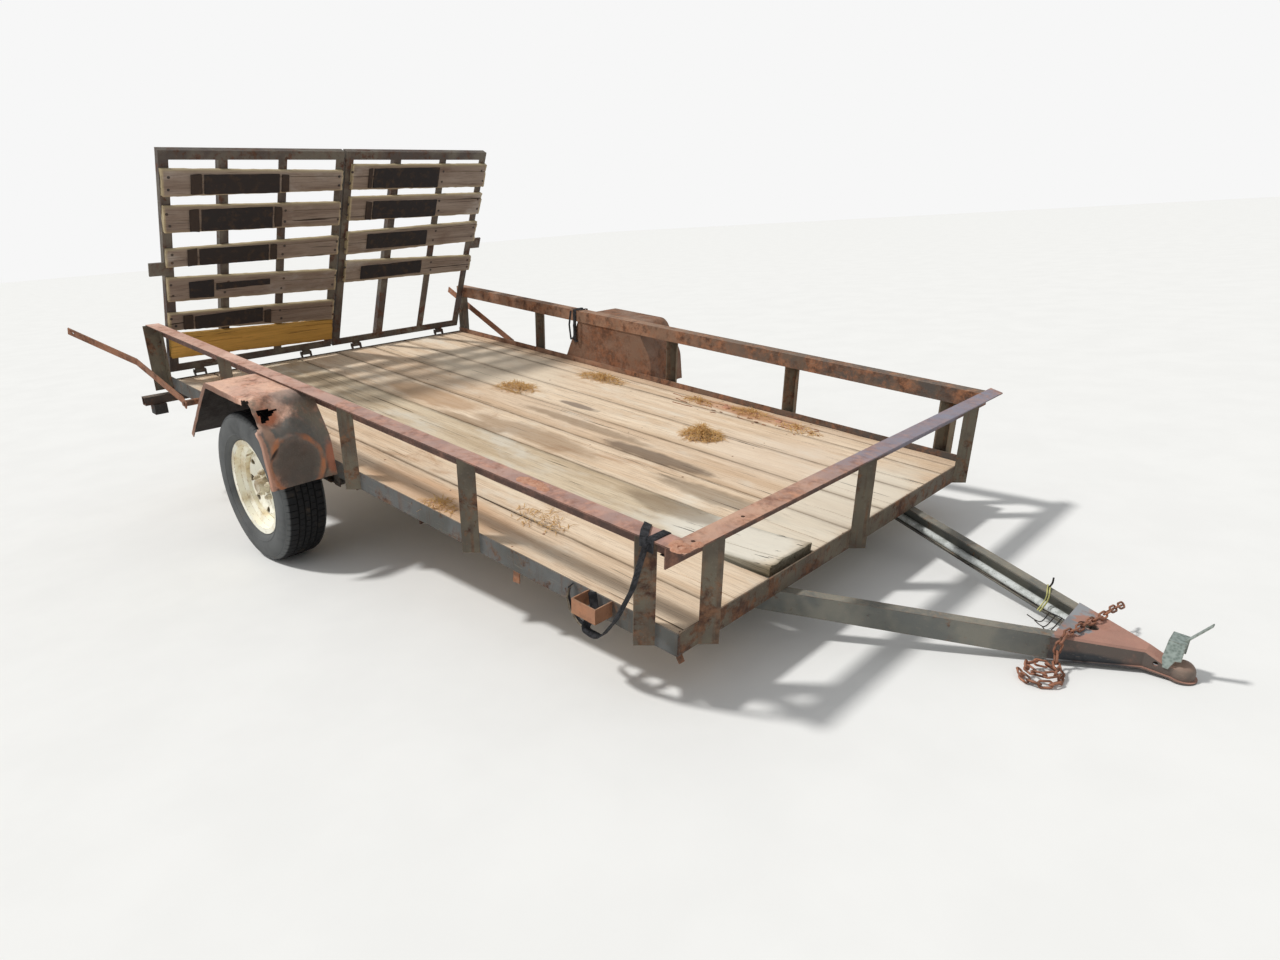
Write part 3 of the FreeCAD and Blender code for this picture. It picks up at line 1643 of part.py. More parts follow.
def ribbon(points, radius, width_way):
    """A flat strap along a route of straight runs joined by arcs, from its points in order."""
    vectors = [FreeCAD.Vector(*point) for point in points]
    edges = []
    start = vectors[0]
    for index in range(1, len(vectors) - 1):
        corner = vectors[index]
        into = (corner - vectors[index - 1]).normalize()
        out = (vectors[index + 1] - corner).normalize()
        half_turn = into.getAngle(out) / 2
        run = min((corner - vectors[index - 1]).Length, (vectors[index + 1] - corner).Length)
        bend = min(radius, 0.45 * run / math.tan(half_turn))
        back = bend * math.tan(half_turn)
        arc_start = corner - into * back
        arc_end = corner + out * back
        bisector = (out - into).normalize()
        middle = corner + bisector * (bend / math.cos(half_turn) - bend)
        edges.append(Part.LineSegment(start, arc_start).toShape())
        edges.append(Part.Arc(arc_start, middle, arc_end).toShape())
        start = arc_end
    edges.append(Part.LineSegment(start, vectors[-1]).toShape())
    path = Part.Wire(edges)
    along = (vectors[1] - vectors[0]).normalize()
    wide = FreeCAD.Vector(*width_way) * (S.strap_width.value / 2)
    thick = along.cross(FreeCAD.Vector(*width_way)) * (S.strap_thick.value / 2)
    ring = Part.makePolygon(
        [
            vectors[0] + wide + thick,
            vectors[0] - wide + thick,
            vectors[0] - wide - thick,
            vectors[0] + wide - thick,
            vectors[0] + wide + thick,
        ]
    )
    return path.makePipeShell([ring], True, False)


def straps():
    """A strap round the near rail that hangs to the frame's edge, and a remnant on the far rail."""
    lift = S.strap_gap.value + S.strap_thick.value / 2
    top = S.rail_top.value + lift
    under = S.rail_top.value - S.rail_leg.value - lift
    outer = RAIL_OUTER.value + lift
    inner = INNER.value - lift
    ahead = S.frame_length.value - S.strap_back.value
    hem = RAIL_UNDER.value - S.strap_hem.value
    near = [
        (ahead, -outer, hem),
        (ahead, -outer, top),
        (ahead, -inner, top),
        (ahead, -inner, under),
        (ahead, -inner - S.strap_turn_in.value, under),
    ]
    tail = outer + (S.strap_thick.value + S.strap_width.value) / 2 + S.strap_gap.value
    rest = HALF.value + S.strap_width.value / 2 + S.strap_tail_gap.value
    guard_middle = S.frame_length.value - S.guard_back.value + S.guard_length.value / 2
    hang = [(ahead - back, inward - tail, up) for back, inward, up in STRAP_HANG]
    hang.append((guard_middle, -rest - S.guard_wall.value, -S.guard_height.value - S.strap_slack.value))
    hang.append((guard_middle - S.strap_end_back.value, -rest, S.strap_end_up.value))
    node(
        "strap_near",
        [
            solid("strap_loop", ribbon(near, lift, (1, 0, 0))),
            solid("strap_tail", ribbon(hang, S.strap_bend.value, (0, 1, 0))),
        ],
    )
    ahead = S.strap_far_ahead.value
    far = [
        (ahead, outer, hem),
        (ahead, outer, top),
        (ahead, inner, top),
        (ahead, inner, under - S.strap_far_hang.value),
    ]
    node("strap_far", [solid("strap_remnant", ribbon(far, lift, (1, 0, 0)))])


def link_ring(length, width):
    """Outline of a link or of its eye, long way along x, with cut corners."""
    half, side = length / 2, width / 2
    bevel = side * (2 - math.sqrt(2))
    quarter = [(half, side - bevel), (half - bevel, side)]
    corners = quarter + [(-x, y) for x, y in reversed(quarter)]
    corners += [(-x, -y) for x, y in corners]
    points = [FreeCAD.Vector(x, y, 0) for x, y in corners]
    return Part.Face(Part.makePolygon(points + points[:1]))


def link(spot, along, up):
    """One flat-sided chain link, long way along the route."""
    wire = S.link_wire.value
    plates = []
    for inset in (0, wire):
        face = link_ring(S.link_length.value - inset * 2, S.link_width.value - inset * 2)
        plate = face.extrude(FreeCAD.Vector(0, 0, wire))
        plate.translate(FreeCAD.Vector(0, 0, -wire / 2))
        plates.append(plate)
    shape = plates[0].cut(plates[1])
    side = up.cross(along)
    matrix = FreeCAD.Matrix(
        along.x, side.x, up.x, spot.x,
        along.y, side.y, up.y, spot.y,
        along.z, side.z, up.z, spot.z,
        0, 0, 0, 1,
    )
    shape.Placement = FreeCAD.Placement(matrix)
    return shape


def chain_points():
    """The chain's route with its heap, which coils down and outward to the floor beside the coupler."""
    rear, top = COUPLER_START.value, COUPLER_TOP.value
    points = [FreeCAD.Vector(rear + ahead, left, top + up) for ahead, left, up in CHAIN_ROUTE]
    heap = CHAIN_HEAP
    tilted_half = (S.link_width.value + S.link_wire.value) / 2 * math.sqrt(0.5)
    steps = 48
    for step in range(steps + 1):
        turns = step / steps * heap["turns"]
        angle = math.radians(heap["start"]) - turns * 2 * math.pi
        radius = heap["radius"] + heap["pitch"] * turns
        ahead = rear + heap["ahead"] + radius * math.cos(angle)
        left = heap["left"] + radius * math.sin(angle)
        fall = (turns - CHAIN_HEAP_FALL[0]) / (CHAIN_HEAP_FALL[1] - CHAIN_HEAP_FALL[0])
        lift = heap["lift"] * (1 - min(max(fall, 0), 1))
        up = floor_up(ahead) + tilted_half + S.chain_clearance.value + lift
        points.append(FreeCAD.Vector(ahead, left, up))
    return points


def safety_chain():
    """Chain links threaded one through the next along the route."""
    points = chain_points()
    pitch = S.link_pitch.value
    spots = [points[0]]
    index = 1
    while index < len(points):
        last = spots[-1]
        if (points[index] - last).Length < pitch:
            index += 1
            continue
        before = points[index - 1]
        step = points[index] - before
        low, high = 0.0, 1.0
        for _ in range(30):
            middle = (low + high) / 2
            if (before + step * middle - last).Length < pitch:
                low = middle
            else:
                high = middle
        spots.append(before + step * high)
        points[index - 1] = spots[-1]
    up = FreeCAD.Vector(0, 0, 1)
    links = []
    for count in range(len(spots) - 1):
        along = (spots[count + 1] - spots[count]).normalize()
        up = (up - along * up.dot(along)).normalize()
        roll = FreeCAD.Rotation(along, 45 if count % 2 else -45)
        middle = (spots[count] + spots[count + 1]) * 0.5
        links.append(solid(f"link_{count}", link(middle, along, roll.multVec(up))))
    node("safety_chain", links)


def check_and_write():
    """Recompute, check every object, and write each node's file."""
    DOC.recompute()
    faults = []
    for item in DOC.Objects:
        if "Invalid" in item.State or "Error" in item.State:
            faults.append(f"{item.Name} is {item.State}")
    for item in NODES:
        if item.Shape.isNull() or not item.Shape.isValid():
            faults.append(f"{item.Label} has no valid shape")
    if faults:
        raise RuntimeError("; ".join(faults))
    os.makedirs("parts", exist_ok=True)
    for item in NODES:
        item.Shape.exportStep(f"parts/{item.Label}.step")
        print(f"{item.Label}: {len(item.Shape.Solids)} solids, {item.Shape.Volume / 1e3:.1f} cm3")


frame()
cross_members()
deck()
rails()
posts()
fenders()
tongue()
coupler()
coupler_latch()
running_gear()
wheels()
gates()
gate_pins()
stays()
rear_beam()
lamp_guard()
straps()
safety_chain()
check_and_write()
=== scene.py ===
"""Looks of a parked utility trailer: worn steel, weathered boards, old tyres, straw and straps."""

from __future__ import annotations

import logging
import math
import random
from collections.abc import Callable, Sequence
from dataclasses import dataclass
from enum import Enum
from functools import cache

import bpy
from mathutils import Matrix, Vector, noise


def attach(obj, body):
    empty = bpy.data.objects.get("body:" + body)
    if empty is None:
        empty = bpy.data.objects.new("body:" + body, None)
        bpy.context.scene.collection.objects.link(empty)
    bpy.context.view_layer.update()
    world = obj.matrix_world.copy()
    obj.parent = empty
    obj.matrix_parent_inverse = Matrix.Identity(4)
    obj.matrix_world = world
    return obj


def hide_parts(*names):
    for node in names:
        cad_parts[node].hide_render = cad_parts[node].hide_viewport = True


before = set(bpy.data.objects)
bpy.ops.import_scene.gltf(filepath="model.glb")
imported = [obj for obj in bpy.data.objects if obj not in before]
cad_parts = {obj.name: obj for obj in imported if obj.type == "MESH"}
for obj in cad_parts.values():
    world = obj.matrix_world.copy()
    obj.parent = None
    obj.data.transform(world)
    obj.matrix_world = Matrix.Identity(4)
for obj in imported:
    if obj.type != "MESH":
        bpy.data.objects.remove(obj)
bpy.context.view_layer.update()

LOG = logging.getLogger("trailer")

Triple = tuple[float, float, float]
Pair = tuple[float, float]
Mark = float | list[float]
Socket = bpy.types.NodeSocket
Material = bpy.types.Material
NEAR, FAR = -1, 1
SIDES = {"near": NEAR, "far": FAR}
ONES, ZEROS = (1.0, 1.0, 1.0), (0.0, 0.0, 0.0)


def shown(tone: str) -> tuple[float, ...]:
    """Linear colour, with full alpha, of a hexadecimal tone as it shows on a screen."""
    levels = [int(tone[place : place + 2], 16) / 255 for place in (0, 2, 4)]
    linear = [level / 12.92 if level <= 0.04045 else ((level + 0.055) / 1.055) ** 2.4 for level in levels]
    return (*linear, 1.0)


@dataclass(frozen=True)
class Standing:
    """The trailer's own level frame, and how it stands nose down on the floor, in metres."""

    axle_ahead: float = 1.510
    axle_down: float = 0.160
    tyre_radius: float = 0.330
    socket_ahead: float = 4.775
    socket_down: float = 0.122
    middle_ahead: float = 0.781155
    middle_left: float = -0.059686
    gate_back: float = 0.016
    gate_down: float = 0.006
    gate_lean: float = math.radians(21.0)
    wheel_centre: float = 1.110

    @property
    def lean(self) -> float:
        """Angle at which the tyres and the coupler's rim stand on one floor."""
        ahead, rise = self.socket_ahead - self.axle_ahead, self.axle_down - self.socket_down
        return math.asin(self.tyre_radius / math.hypot(ahead, rise)) + math.atan2(rise, ahead)

    def rest(self) -> Matrix:
        """From the trailer's level frame to the row frame."""
        lift = Matrix.Translation((-self.middle_ahead, -self.middle_left, self.tyre_radius))
        turn = Matrix.Rotation(self.lean, 4, "Y")
        return lift @ turn @ Matrix.Translation((-self.axle_ahead, 0.0, self.axle_down))

    def gate(self) -> Matrix:
        """From a gate's frame, with Z up the gate, to the row frame."""
        hinge = Matrix.Translation((-self.gate_back, 0.0, -self.gate_down))
        return self.rest() @ hinge @ Matrix.Rotation(self.gate_lean, 4, "Y")

    def wheel(self, side: int) -> Matrix:
        """From a wheel's frame, with Y outward along the axle, to the row frame."""
        spot = Matrix.Translation((self.axle_ahead, side * self.wheel_centre, -self.axle_down))
        return self.rest() @ spot @ Matrix.Rotation(0.0 if side == FAR else math.pi, 4, "Z")


STANDING = Standing()
REST = STANDING.rest()
GATE = STANDING.gate()
LEVEL_ORIGIN = REST.inverted().translation


class Lean(Enum):
    """How a finish's grain lies: level with the floor, the deck or a gate."""

    FLOOR = 0.0
    DECK = STANDING.lean
    GATE = STANDING.lean + STANDING.gate_lean


@dataclass(frozen=True)
class Spot:
    """A soft-edged patch of another tone: its middle and half sizes in the trailer's level frame."""

    middle: Triple
    half: Triple
    tone: str
    share: float = 0.8
    ragged: float = 0.7
    rim: str = ""


class Graph:
    """A node tree, with a short way to add its nodes."""

    def __init__(self, tree: bpy.types.NodeTree) -> None:
        """Work on a tree."""
        self.tree = tree

    def feed(self, socket: Socket, value: object) -> None:
        """Link a socket, or set its value; a text is a tone."""
        if isinstance(value, Socket):
            self.tree.links.new(value, socket)
        else:
            socket.default_value = shown(value) if isinstance(value, str) else value

    def node(self, kind: str, inputs: dict | None = None, out: int | str = 0, **options: object) -> Socket:
        """Add a node.

        Args:
            kind: The node's type, without its prefix.
            inputs: What its inputs take, by name or place.
            out: The output to hand over.
            **options: The node's own settings.

        Returns:
            The output's socket.
        """
        node = self.tree.nodes.new("ShaderNode" + kind)
        for name, value in options.items():
            setattr(node, name, value)
        for place, value in (inputs or {}).items():
            self.feed(node.inputs[place], value)
        return node.outputs[out]


class Shading(Graph):
    """The node graph of one material, with short ways to add its usual nodes."""

    def __init__(self, name: str, lean: Lean = Lean.DECK) -> None:
        """Start a material whose coordinates are turned to a frame."""
        self.material = bpy.data.materials.new(name)
        self.material.use_nodes = True
        super().__init__(self.material.node_tree)
        self.shader = self.tree.nodes["Principled BSDF"]
        self.lean = lean
        self.origin = self.node("TexCoord", out="Object")

    def where(self, stretch: Triple = ONES, shift: Triple = ZEROS) -> Socket:
        """Coordinates on the object, turned to the finish's frame, stretched and shifted."""
        inputs = {"Rotation": (0.0, self.lean.value, 0.0), "Scale": tuple(1.0 / value for value in stretch)}
        inputs |= {"Location": shift, "Vector": self.origin}
        return self.node("Mapping", inputs, vector_type="TEXTURE")

    def grain(
        self, scale: float, stretch: Triple = ONES, detail: float = 5.0, rough: float = 0.6,
        warp: float = 0.0, shift: Triple = ZEROS,
    ) -> Socket:
        """A noise pattern's value, from 0 to 1."""
        inputs = {"Scale": scale, "Detail": detail, "Roughness": rough, "Distortion": warp}
        return self.node("TexNoise", {"Vector": self.where(stretch, shift), **inputs})

    def span(self, value: object, low: float, high: float, bottom: float = 0.0, top: float = 1.0) -> Socket:
        """A value mapped smoothly from one span to another."""
        inputs = {"Value": value, "From Min": low, "From Max": high, "To Min": bottom, "To Max": top}
        return self.node("MapRange", inputs, interpolation_type="SMOOTHSTEP")

    def join(self, operation: str, *values: object) -> Socket:
        """Values put together one after the other by a math operation."""
        whole = values[0]
        for value in values[1:]:
            whole = self.node("Math", {0: whole, 1: value}, operation=operation)
        return whole

    def plus(self, *values: object) -> Socket:
        """The sum of values."""
        return self.join("ADD", *values)

    def times(self, *values: object) -> Socket:
        """The product of values."""
        return self.join("MULTIPLY", *values)

    def blend(self, share: object, first: object, second: object) -> Socket:
        """Two colours mixed by a share."""
        return self.node("Mix", {0: share, 6: first, 7: second}, 2, data_type="RGBA")

    def layered(self, colour: object, *layers: tuple) -> object:
        """A colour under layers: each a colour, a pattern, where that comes in and is full, and a share."""
        for other, pattern, low, high, *share in layers:
            colour = self.blend(self.span(pattern, low, high, 0.0, *share), colour, other)
        return colour

    def mark(self, name: str) -> Socket:
        """A value that a piece's points carry."""
        return self.node("Attribute", out="Fac", attribute_name=name)

    def edges(self, radius: float) -> Socket:
        """How near a sharp edge is, from 0 on flats to 1 on edges."""
        bevel = self.node("Bevel", {"Radius": radius}, samples=4)
        flat = self.node("NewGeometry", out="Normal")
        level = self.node("VectorMath", {0: bevel, 1: flat}, "Value", operation="DOT_PRODUCT")
        return self.span(level, 0.995, 0.86)

    def upward(self) -> Socket:
        """How far the surface faces up."""
        return self.node("SeparateXYZ", {0: self.node("NewGeometry", out="Normal")}, 2)

    def along(self, axis: int) -> Socket:
        """The place along one axis of the trailer's level frame, for a finish that lies with the deck."""
        return self.plus(self.node("SeparateXYZ", {0: self.where()}, axis), LEVEL_ORIGIN[axis])

    def patched(self, colour: object, spots: tuple[Spot, ...]) -> object:
        """A colour with spots of other colours over it."""
        for spot in spots:
            squares = []
            for axis in range(3):
                part = self.join("SUBTRACT", self.along(axis), spot.middle[axis])
                part = self.join("ABSOLUTE", self.join("DIVIDE", part, spot.half[axis]), 0.0)
                squares.append(self.join("POWER", part, 2.0))
            ragged = self.times(self.join("SUBTRACT", self.grain(0.7 / min(spot.half)), 0.5), spot.ragged)
            away = self.plus(self.join("POWER", self.plus(*squares), 0.5), ragged)
            colour = self.layered(colour, (spot.tone, away, 1.0, 0.55, spot.share))
            if spot.rim:
                broken = self.span(self.grain(16), 0.34, 0.6, 0.1)
                ring = self.times(self.span(away, 0.8, 0.93), self.span(away, 1.1, 0.97), broken)
                colour = self.blend(ring, colour, spot.rim)
        return colour

    def finish(
        self, colour: object, rough: object, specular: float, height: object = 0.0,
        depth: float = 0.0, metallic: float = 0.0,
    ) -> Material:
        """Set the shader's main sockets and hand the material over.

        Args:
            colour: The surface's colour.
            rough: Its roughness.
            specular: Its shine.
            height: The pattern that bumps it.
            depth: The bumps' depth in metres.
            metallic: Share of metal.

        Returns:
            The material.
        """
        inputs = {"Base Color": colour, "Roughness": rough, "Metallic": metallic}
        inputs["Specular IOR Level"] = specular
        if depth:
            inputs["Normal"] = self.node("Bump", {"Distance": depth, "Height": height})
        for name, value in inputs.items():
            self.feed(self.shader.inputs[name], value)
        return self.material


@dataclass(frozen=True)
class Fade:
    """A second colour that takes over along one axis of the trailer's level frame, in metres; on the near
    fender's front it is painted shade.
    """

    axis: int
    start: float
    end: float
    paint: str
    other: str


@dataclass(frozen=True)
class WornSteel:
    """Old painted steel: two tones of paint, patches of rust, worn edges, pits, scuffs, dust, and painted
    shade where set.
    """

    name: str
    paint: str
    other: str
    rust: str = "7e523a"
    deep: str = "4a3228"
    rusted: float = 0.35
    patch: float = 0.09
    edge: float = 0.6
    dust: float = 0.25
    pits: float = 0.0012
    streaks: float = 0.0
    soft: float = 0.06
    fade: Fade | None = None
    # Colour of faces that do not face up: painted shade on the rails and coupler, a redder tone of equal
    # lightness on the lamp guard.
    flank_shade_and_tone: str = ""
    # Colour of faces that face down: painted shade beneath the piece.
    under: str = ""
    scuffed: str = "a89886"
    dusty: str = "b09e86"
    spots: tuple[Spot, ...] = ()

    def build(self) -> Material:
        """The finish as a material."""
        sheet = Shading(self.name)
        broad = sheet.grain(1 / self.patch, detail=6, rough=0.62, warp=0.4)
        small = sheet.grain(70, detail=4, rough=0.7)
        fine = sheet.grain(420, detail=2)
        paint = sheet.layered(self.paint, (self.other, sheet.grain(6, detail=3), 0.4, 0.62))
        if self.fade:
            wander = sheet.times(sheet.join("SUBTRACT", sheet.grain(9), 0.5), 0.5)
            spot = sheet.plus(sheet.along(self.fade.axis), wander)
            other = sheet.layered(self.fade.paint, (self.fade.other, sheet.grain(9), 0.4, 0.6))
            paint = sheet.layered(paint, (other, spot, self.fade.start, self.fade.end))
        middle = 0.5 + (0.5 - self.rusted) * 0.36
        cover = sheet.plus(sheet.times(broad, 0.72), sheet.times(small, 0.28))
        mask = sheet.span(cover, middle - self.soft, middle + self.soft)
        if self.streaks:
            runs = sheet.grain(1, (34, 34, 2.2), detail=4, shift=(0.4, 0.2, 0.0))
            mask = sheet.join("MAXIMUM", mask, sheet.times(sheet.span(runs, 0.5, 0.68), self.streaks))
        worn = sheet.times(sheet.edges(0.006), sheet.span(small, 0.36, 0.6), self.edge)
        mask = sheet.join("MAXIMUM", mask, worn)
        rust = sheet.layered(self.deep, (self.rust, sheet.grain(26, rough=0.7), 0.36, 0.64))
        # Flank colour on faces that do not face up, with less rust there: painted shade on the rails and
        # coupler, a plain redder tone on the lamp guard.
        if self.flank_shade_and_tone:
            paint = sheet.layered(paint, (self.flank_shade_and_tone, sheet.upward(), 0.75, 0.35))
            mask = sheet.times(mask, sheet.span(sheet.upward(), 0.75, 0.35, 1.0, 0.45))
        colour = sheet.patched(sheet.blend(mask, paint, rust), self.spots)
        scuffs = sheet.grain(1, (9, 120, 120), detail=3, shift=(0.1, 0.7, 0.3))
        colour = sheet.layered(colour, (self.deep, fine, 0.6, 0.78, 0.45))
        colour = sheet.layered(colour, (self.scuffed, scuffs, 0.6, 0.75, 0.22))
        # Painted shade on faces that face down.
        if self.under:
            colour = sheet.layered(colour, (self.under, sheet.upward(), -0.02, -0.2))
        settled = sheet.times(sheet.span(sheet.upward(), 0.2, 0.9), sheet.span(small, 0.3, 0.75), self.dust)
        height = sheet.plus(sheet.times(mask, 0.35), sheet.plus(small, fine))
        rough = sheet.span(mask, 0.0, 1.0, 0.62, 0.88)
        return sheet.finish(sheet.blend(settled, colour, self.dusty), rough, 0.35, height, self.pits)


@dataclass(frozen=True)
class WeatheredWood:
    """Old board: grain along one axis, silvered and stained patches, dark splits, paler or darker edges."""

    name: str
    pale: str
    middle: str
    dark: str
    edge: str
    silver: str
    stain: str
    silvered: float
    stained: float
    crack: str = "30261e"
    lean: Lean = Lean.DECK
    axis: int = 0
    edge_share: float = 0.7
    coarse: float = 0.42
    split_from: float = 0.665
    spots: tuple[Spot, ...] = ()

    def build(self) -> Material:
        """The finish as a material."""
        sheet = Shading(self.name, self.lean)

        def drawn(scale: float, fine: float, slow: float, **shape: object) -> Socket:
            """Noise that is drawn out along the board."""
            stretch = [fine, fine, fine]
            stretch[self.axis] = slow
            return sheet.grain(scale, tuple(stretch), **shape)

        broad = drawn(1, 16, 0.9, warp=0.5)
        fibre = drawn(1, 120, 2.6, detail=6, rough=0.78, warp=0.2)
        thin = drawn(1, 300, 6, detail=4, rough=0.7)
        weathered = drawn(3.1, 1.6, 0.7, detail=6, rough=0.66)
        soil = drawn(2.3, 1.9, 0.8, detail=7, rough=0.7, warp=0.6, shift=(1.3, 0.4, 0.8))
        split = drawn(1, 95, 1.3, detail=3, rough=0.5, shift=(0.3, 0.1, 0.2))
        colour = sheet.layered(
            self.middle,
            (self.pale, broad, 0.34, 0.66),
            (self.dark, fibre, 0.5, 0.74, self.coarse),
            (self.dark, thin, 0.5, 0.68, 0.6),
            (self.silver, weathered, 0.62 - 0.3 * self.silvered, 0.72, 0.75),
            (self.stain, soil, 0.64 - 0.3 * self.stained, 0.74, 0.7),
            (self.stain, sheet.mark("tint"), 0.0, 1.0, 0.35),
        )
        cracks = sheet.span(split, self.split_from, self.split_from + 0.03)
        colour = sheet.blend(cracks, sheet.patched(colour, self.spots), self.crack)
        worn = sheet.times(sheet.mark("edge"), sheet.span(fibre, 0.3, 0.7, 0.6), self.edge_share)
        height = sheet.plus(sheet.times(fibre, 0.8), sheet.times(thin, 0.4))
        height = sheet.join("SUBTRACT", height, cracks)
        rough = sheet.span(fibre, 0.2, 0.8, 0.92, 0.78)
        return sheet.finish(sheet.blend(worn, colour, self.edge), rough, 0.2, height, 0.0022)


@dataclass(frozen=True)
class WornRubber:
    """Grey, dusty tyre rubber with fine scuffs, brown soil and painted shade in the grooves and cuts."""

    name: str = "tyre rubber"
    base: str = "1e1e1f"
    dusty: str = "747676"
    soil: str = "70604e"
    groove_shade: str = "161515"
    wall_share: float = 0.68

    def build(self) -> Material:
        """The finish as a material."""
        sheet = Shading(self.name, Lean.FLOOR)
        cloud = sheet.grain(9, detail=6, rough=0.65)
        fine = sheet.grain(160, detail=3, rough=0.7)
        wall = sheet.times(sheet.mark("wall"), sheet.span(cloud, 0.25, 0.6, 0.55), self.wall_share)
        colour = sheet.blend(wall, self.base, self.dusty)
        colour = sheet.layered(colour, (self.soil, sheet.grain(14), 0.58, 0.78, 0.3))
        # Painted shade in the grooves and cross cuts.
        colour = sheet.blend(sheet.times(sheet.mark("groove"), 0.85), colour, self.groove_shade)
        colour = sheet.layered(colour, (self.dusty, fine, 0.58, 0.8, 0.16))
        height = sheet.plus(fine, sheet.times(cloud, 0.5))
        return sheet.finish(colour, sheet.span(cloud, 0.3, 0.7, 0.72, 0.9), 0.25, height, 0.0006)


@dataclass(frozen=True)
class AgedPaint:
    """Cream wheel paint: yellowed in patches, with rust specks, rust on worn edges and patches of dirt."""

    name: str
    pale: str
    yellow: str
    rust: str = "865c3a"
    dirt: str = "968062"

    def build(self) -> Material:
        """The finish as a material."""
        sheet = Shading(self.name, Lean.FLOOR)
        cloud = sheet.grain(11, detail=6)
        specks = sheet.grain(75, detail=4, rough=0.7)
        colour = sheet.layered(self.pale, (self.yellow, cloud, 0.42, 0.66))
        colour = sheet.layered(colour, (self.rust, specks, 0.64, 0.72, 0.8))
        worn = sheet.times(sheet.edges(0.004), sheet.span(specks, 0.42, 0.62))
        colour = sheet.blend(worn, colour, self.rust)
        colour = sheet.layered(colour, (self.dirt, sheet.grain(22), 0.56, 0.76, 0.5))
        return sheet.finish(colour, sheet.span(cloud, 0.3, 0.7, 0.45, 0.62), 0.45, specks, 0.0005)


@dataclass(frozen=True)
class DullPlate:
    """Zinc plate gone dull: grey-green crystals, white bloom and a little rust at the edges."""

    name: str = "dull zinc"
    base: str = "7a8680"
    bloom: str = "a8b4ae"
    rust: str = "805c3e"

    def build(self) -> Material:
        """The finish as a material."""
        sheet = Shading(self.name, Lean.FLOOR)
        crystal = sheet.node("TexVoronoi", {"Vector": sheet.where(), "Scale": 110}, "Distance")
        cloud = sheet.grain(38, rough=0.65)
        colour = sheet.layered(self.base, (self.bloom, crystal, 0.0, 0.9))
        colour = sheet.layered(colour, (self.bloom, cloud, 0.5, 0.7, 0.6))
        colour = sheet.blend(sheet.times(sheet.edges(0.003), 0.45), colour, self.rust)
        return sheet.finish(colour, sheet.span(cloud, 0.3, 0.7, 0.42, 0.6), 0.5, cloud, 0.0005, 0.55)


@dataclass(frozen=True)
class SpeckledCover:
    """A matt surface with blotches, specks and a fine relief, for rubber, plastic, straw and rust crust."""

    name: str
    base: str
    blotch: str
    speck: str
    scale: float = 30.0
    blotched: float = 0.5
    depth: float = 0.0012
    rough: float = 0.85
    weave: float = 0.0

    def build(self) -> Material:
        """The finish as a material."""
        sheet = Shading(self.name)
        cloud = sheet.grain(self.scale, detail=6, rough=0.68, warp=0.3)
        specks = sheet.grain(self.scale * 9, detail=3, rough=0.7)
        middle = 0.5 + (0.5 - self.blotched) * 0.3
        colour = sheet.layered(self.base, (self.blotch, cloud, middle - 0.1, middle + 0.1))
        colour = sheet.blend(sheet.times(sheet.mark("tint"), 0.6), colour, self.blotch)
        colour = sheet.layered(colour, (self.speck, specks, 0.58, 0.74, 0.8))
        height = sheet.plus(cloud, sheet.times(specks, 0.6))
        if self.weave:
            inputs = {"Vector": sheet.where(), "Scale": self.weave, "Distortion": 1.5}
            wave = sheet.node("TexWave", inputs, "Fac")
            colour = sheet.layered(colour, (self.speck, wave, 0.3, 0.9, 0.5))
            height = sheet.plus(height, wave)
        return sheet.finish(colour, self.rough, 0.25, height, self.depth)


Finish = WornSteel | WeatheredWood | WornRubber | AgedPaint | DullPlate | SpeckledCover


def stains(up: float, *rows: tuple) -> tuple[Spot, ...]:
    """Spots through boards at a height: place ahead and left, half length and width, tone and share."""
    return tuple(Spot((x, y, up), (long, wide, 0.2), tone, share) for x, y, long, wide, tone, share in rows)


@cache
def material_of(finish: Finish) -> Material:
    """The one material that a finish makes, built when it is first asked for."""
    return finish.build()


FRAME_STEEL = WornSteel("frame steel", "626362", "545450", rust="765e4c", rusted=0.3, edge=0.5, streaks=0.4)
FRONT_STEEL = WornSteel("front frame steel", "62584a", "706656", rust="7c5840", rusted=0.45, streaks=0.4)
POST_STEEL = WornSteel("post steel", "726a5a", "60584c", rust="84624a", rusted=0.38, streaks=0.7, dust=0.1)
REAR_STEEL = WornSteel("rear steel", "3e3834", "4e423a", rust="7a523c", rusted=0.35, streaks=0.3, dust=0.5)
# Near rail: the pale rust-pink paint holds painted sunlight and sheen of the lit tops besides the rust
# colour; the flank colour is painted shade on the sides.
NEAR_RAIL_STEEL = WornSteel(
    "near rail steel with painted sunlight and shade", "e6c0ae", "d2aa98", rust="cc9680", deep="8c6050", rusted=0.36, soft=0.16, dust=0.1,
    fade=Fade(0, 0.9, 2.4, "bc9a8e", "aa8c84"), flank_shade_and_tone="5c463e",
)
# Front rail: the pale paint holds painted sunlight on the tops besides the rust colour; the flank colour is
# painted shade on the sides.
FRONT_RAIL_STEEL = WornSteel(
    "front rail steel with painted sunlight and shade", "cea48c", "ba9482", rust="c88e70", deep="785042", rusted=0.38, soft=0.14, dust=0.15,
    fade=Fade(1, -0.6, 0.1, "868696", "948082"),
    spots=(Spot((3.75, 0.45, 0.289), (0.2, 0.65, 0.1), "8a8a9a", 0.6, 1.2),), flank_shade_and_tone="56423a",
)
FAR_RAIL_STEEL = WornSteel(
    "far rail steel", "a8826a", "927460", rust="a67456", deep="543c30", rusted=0.45, soft=0.12, dust=0.3,
    fade=Fade(0, 1.6, 2.9, "58524e", "6e5e52"),
)
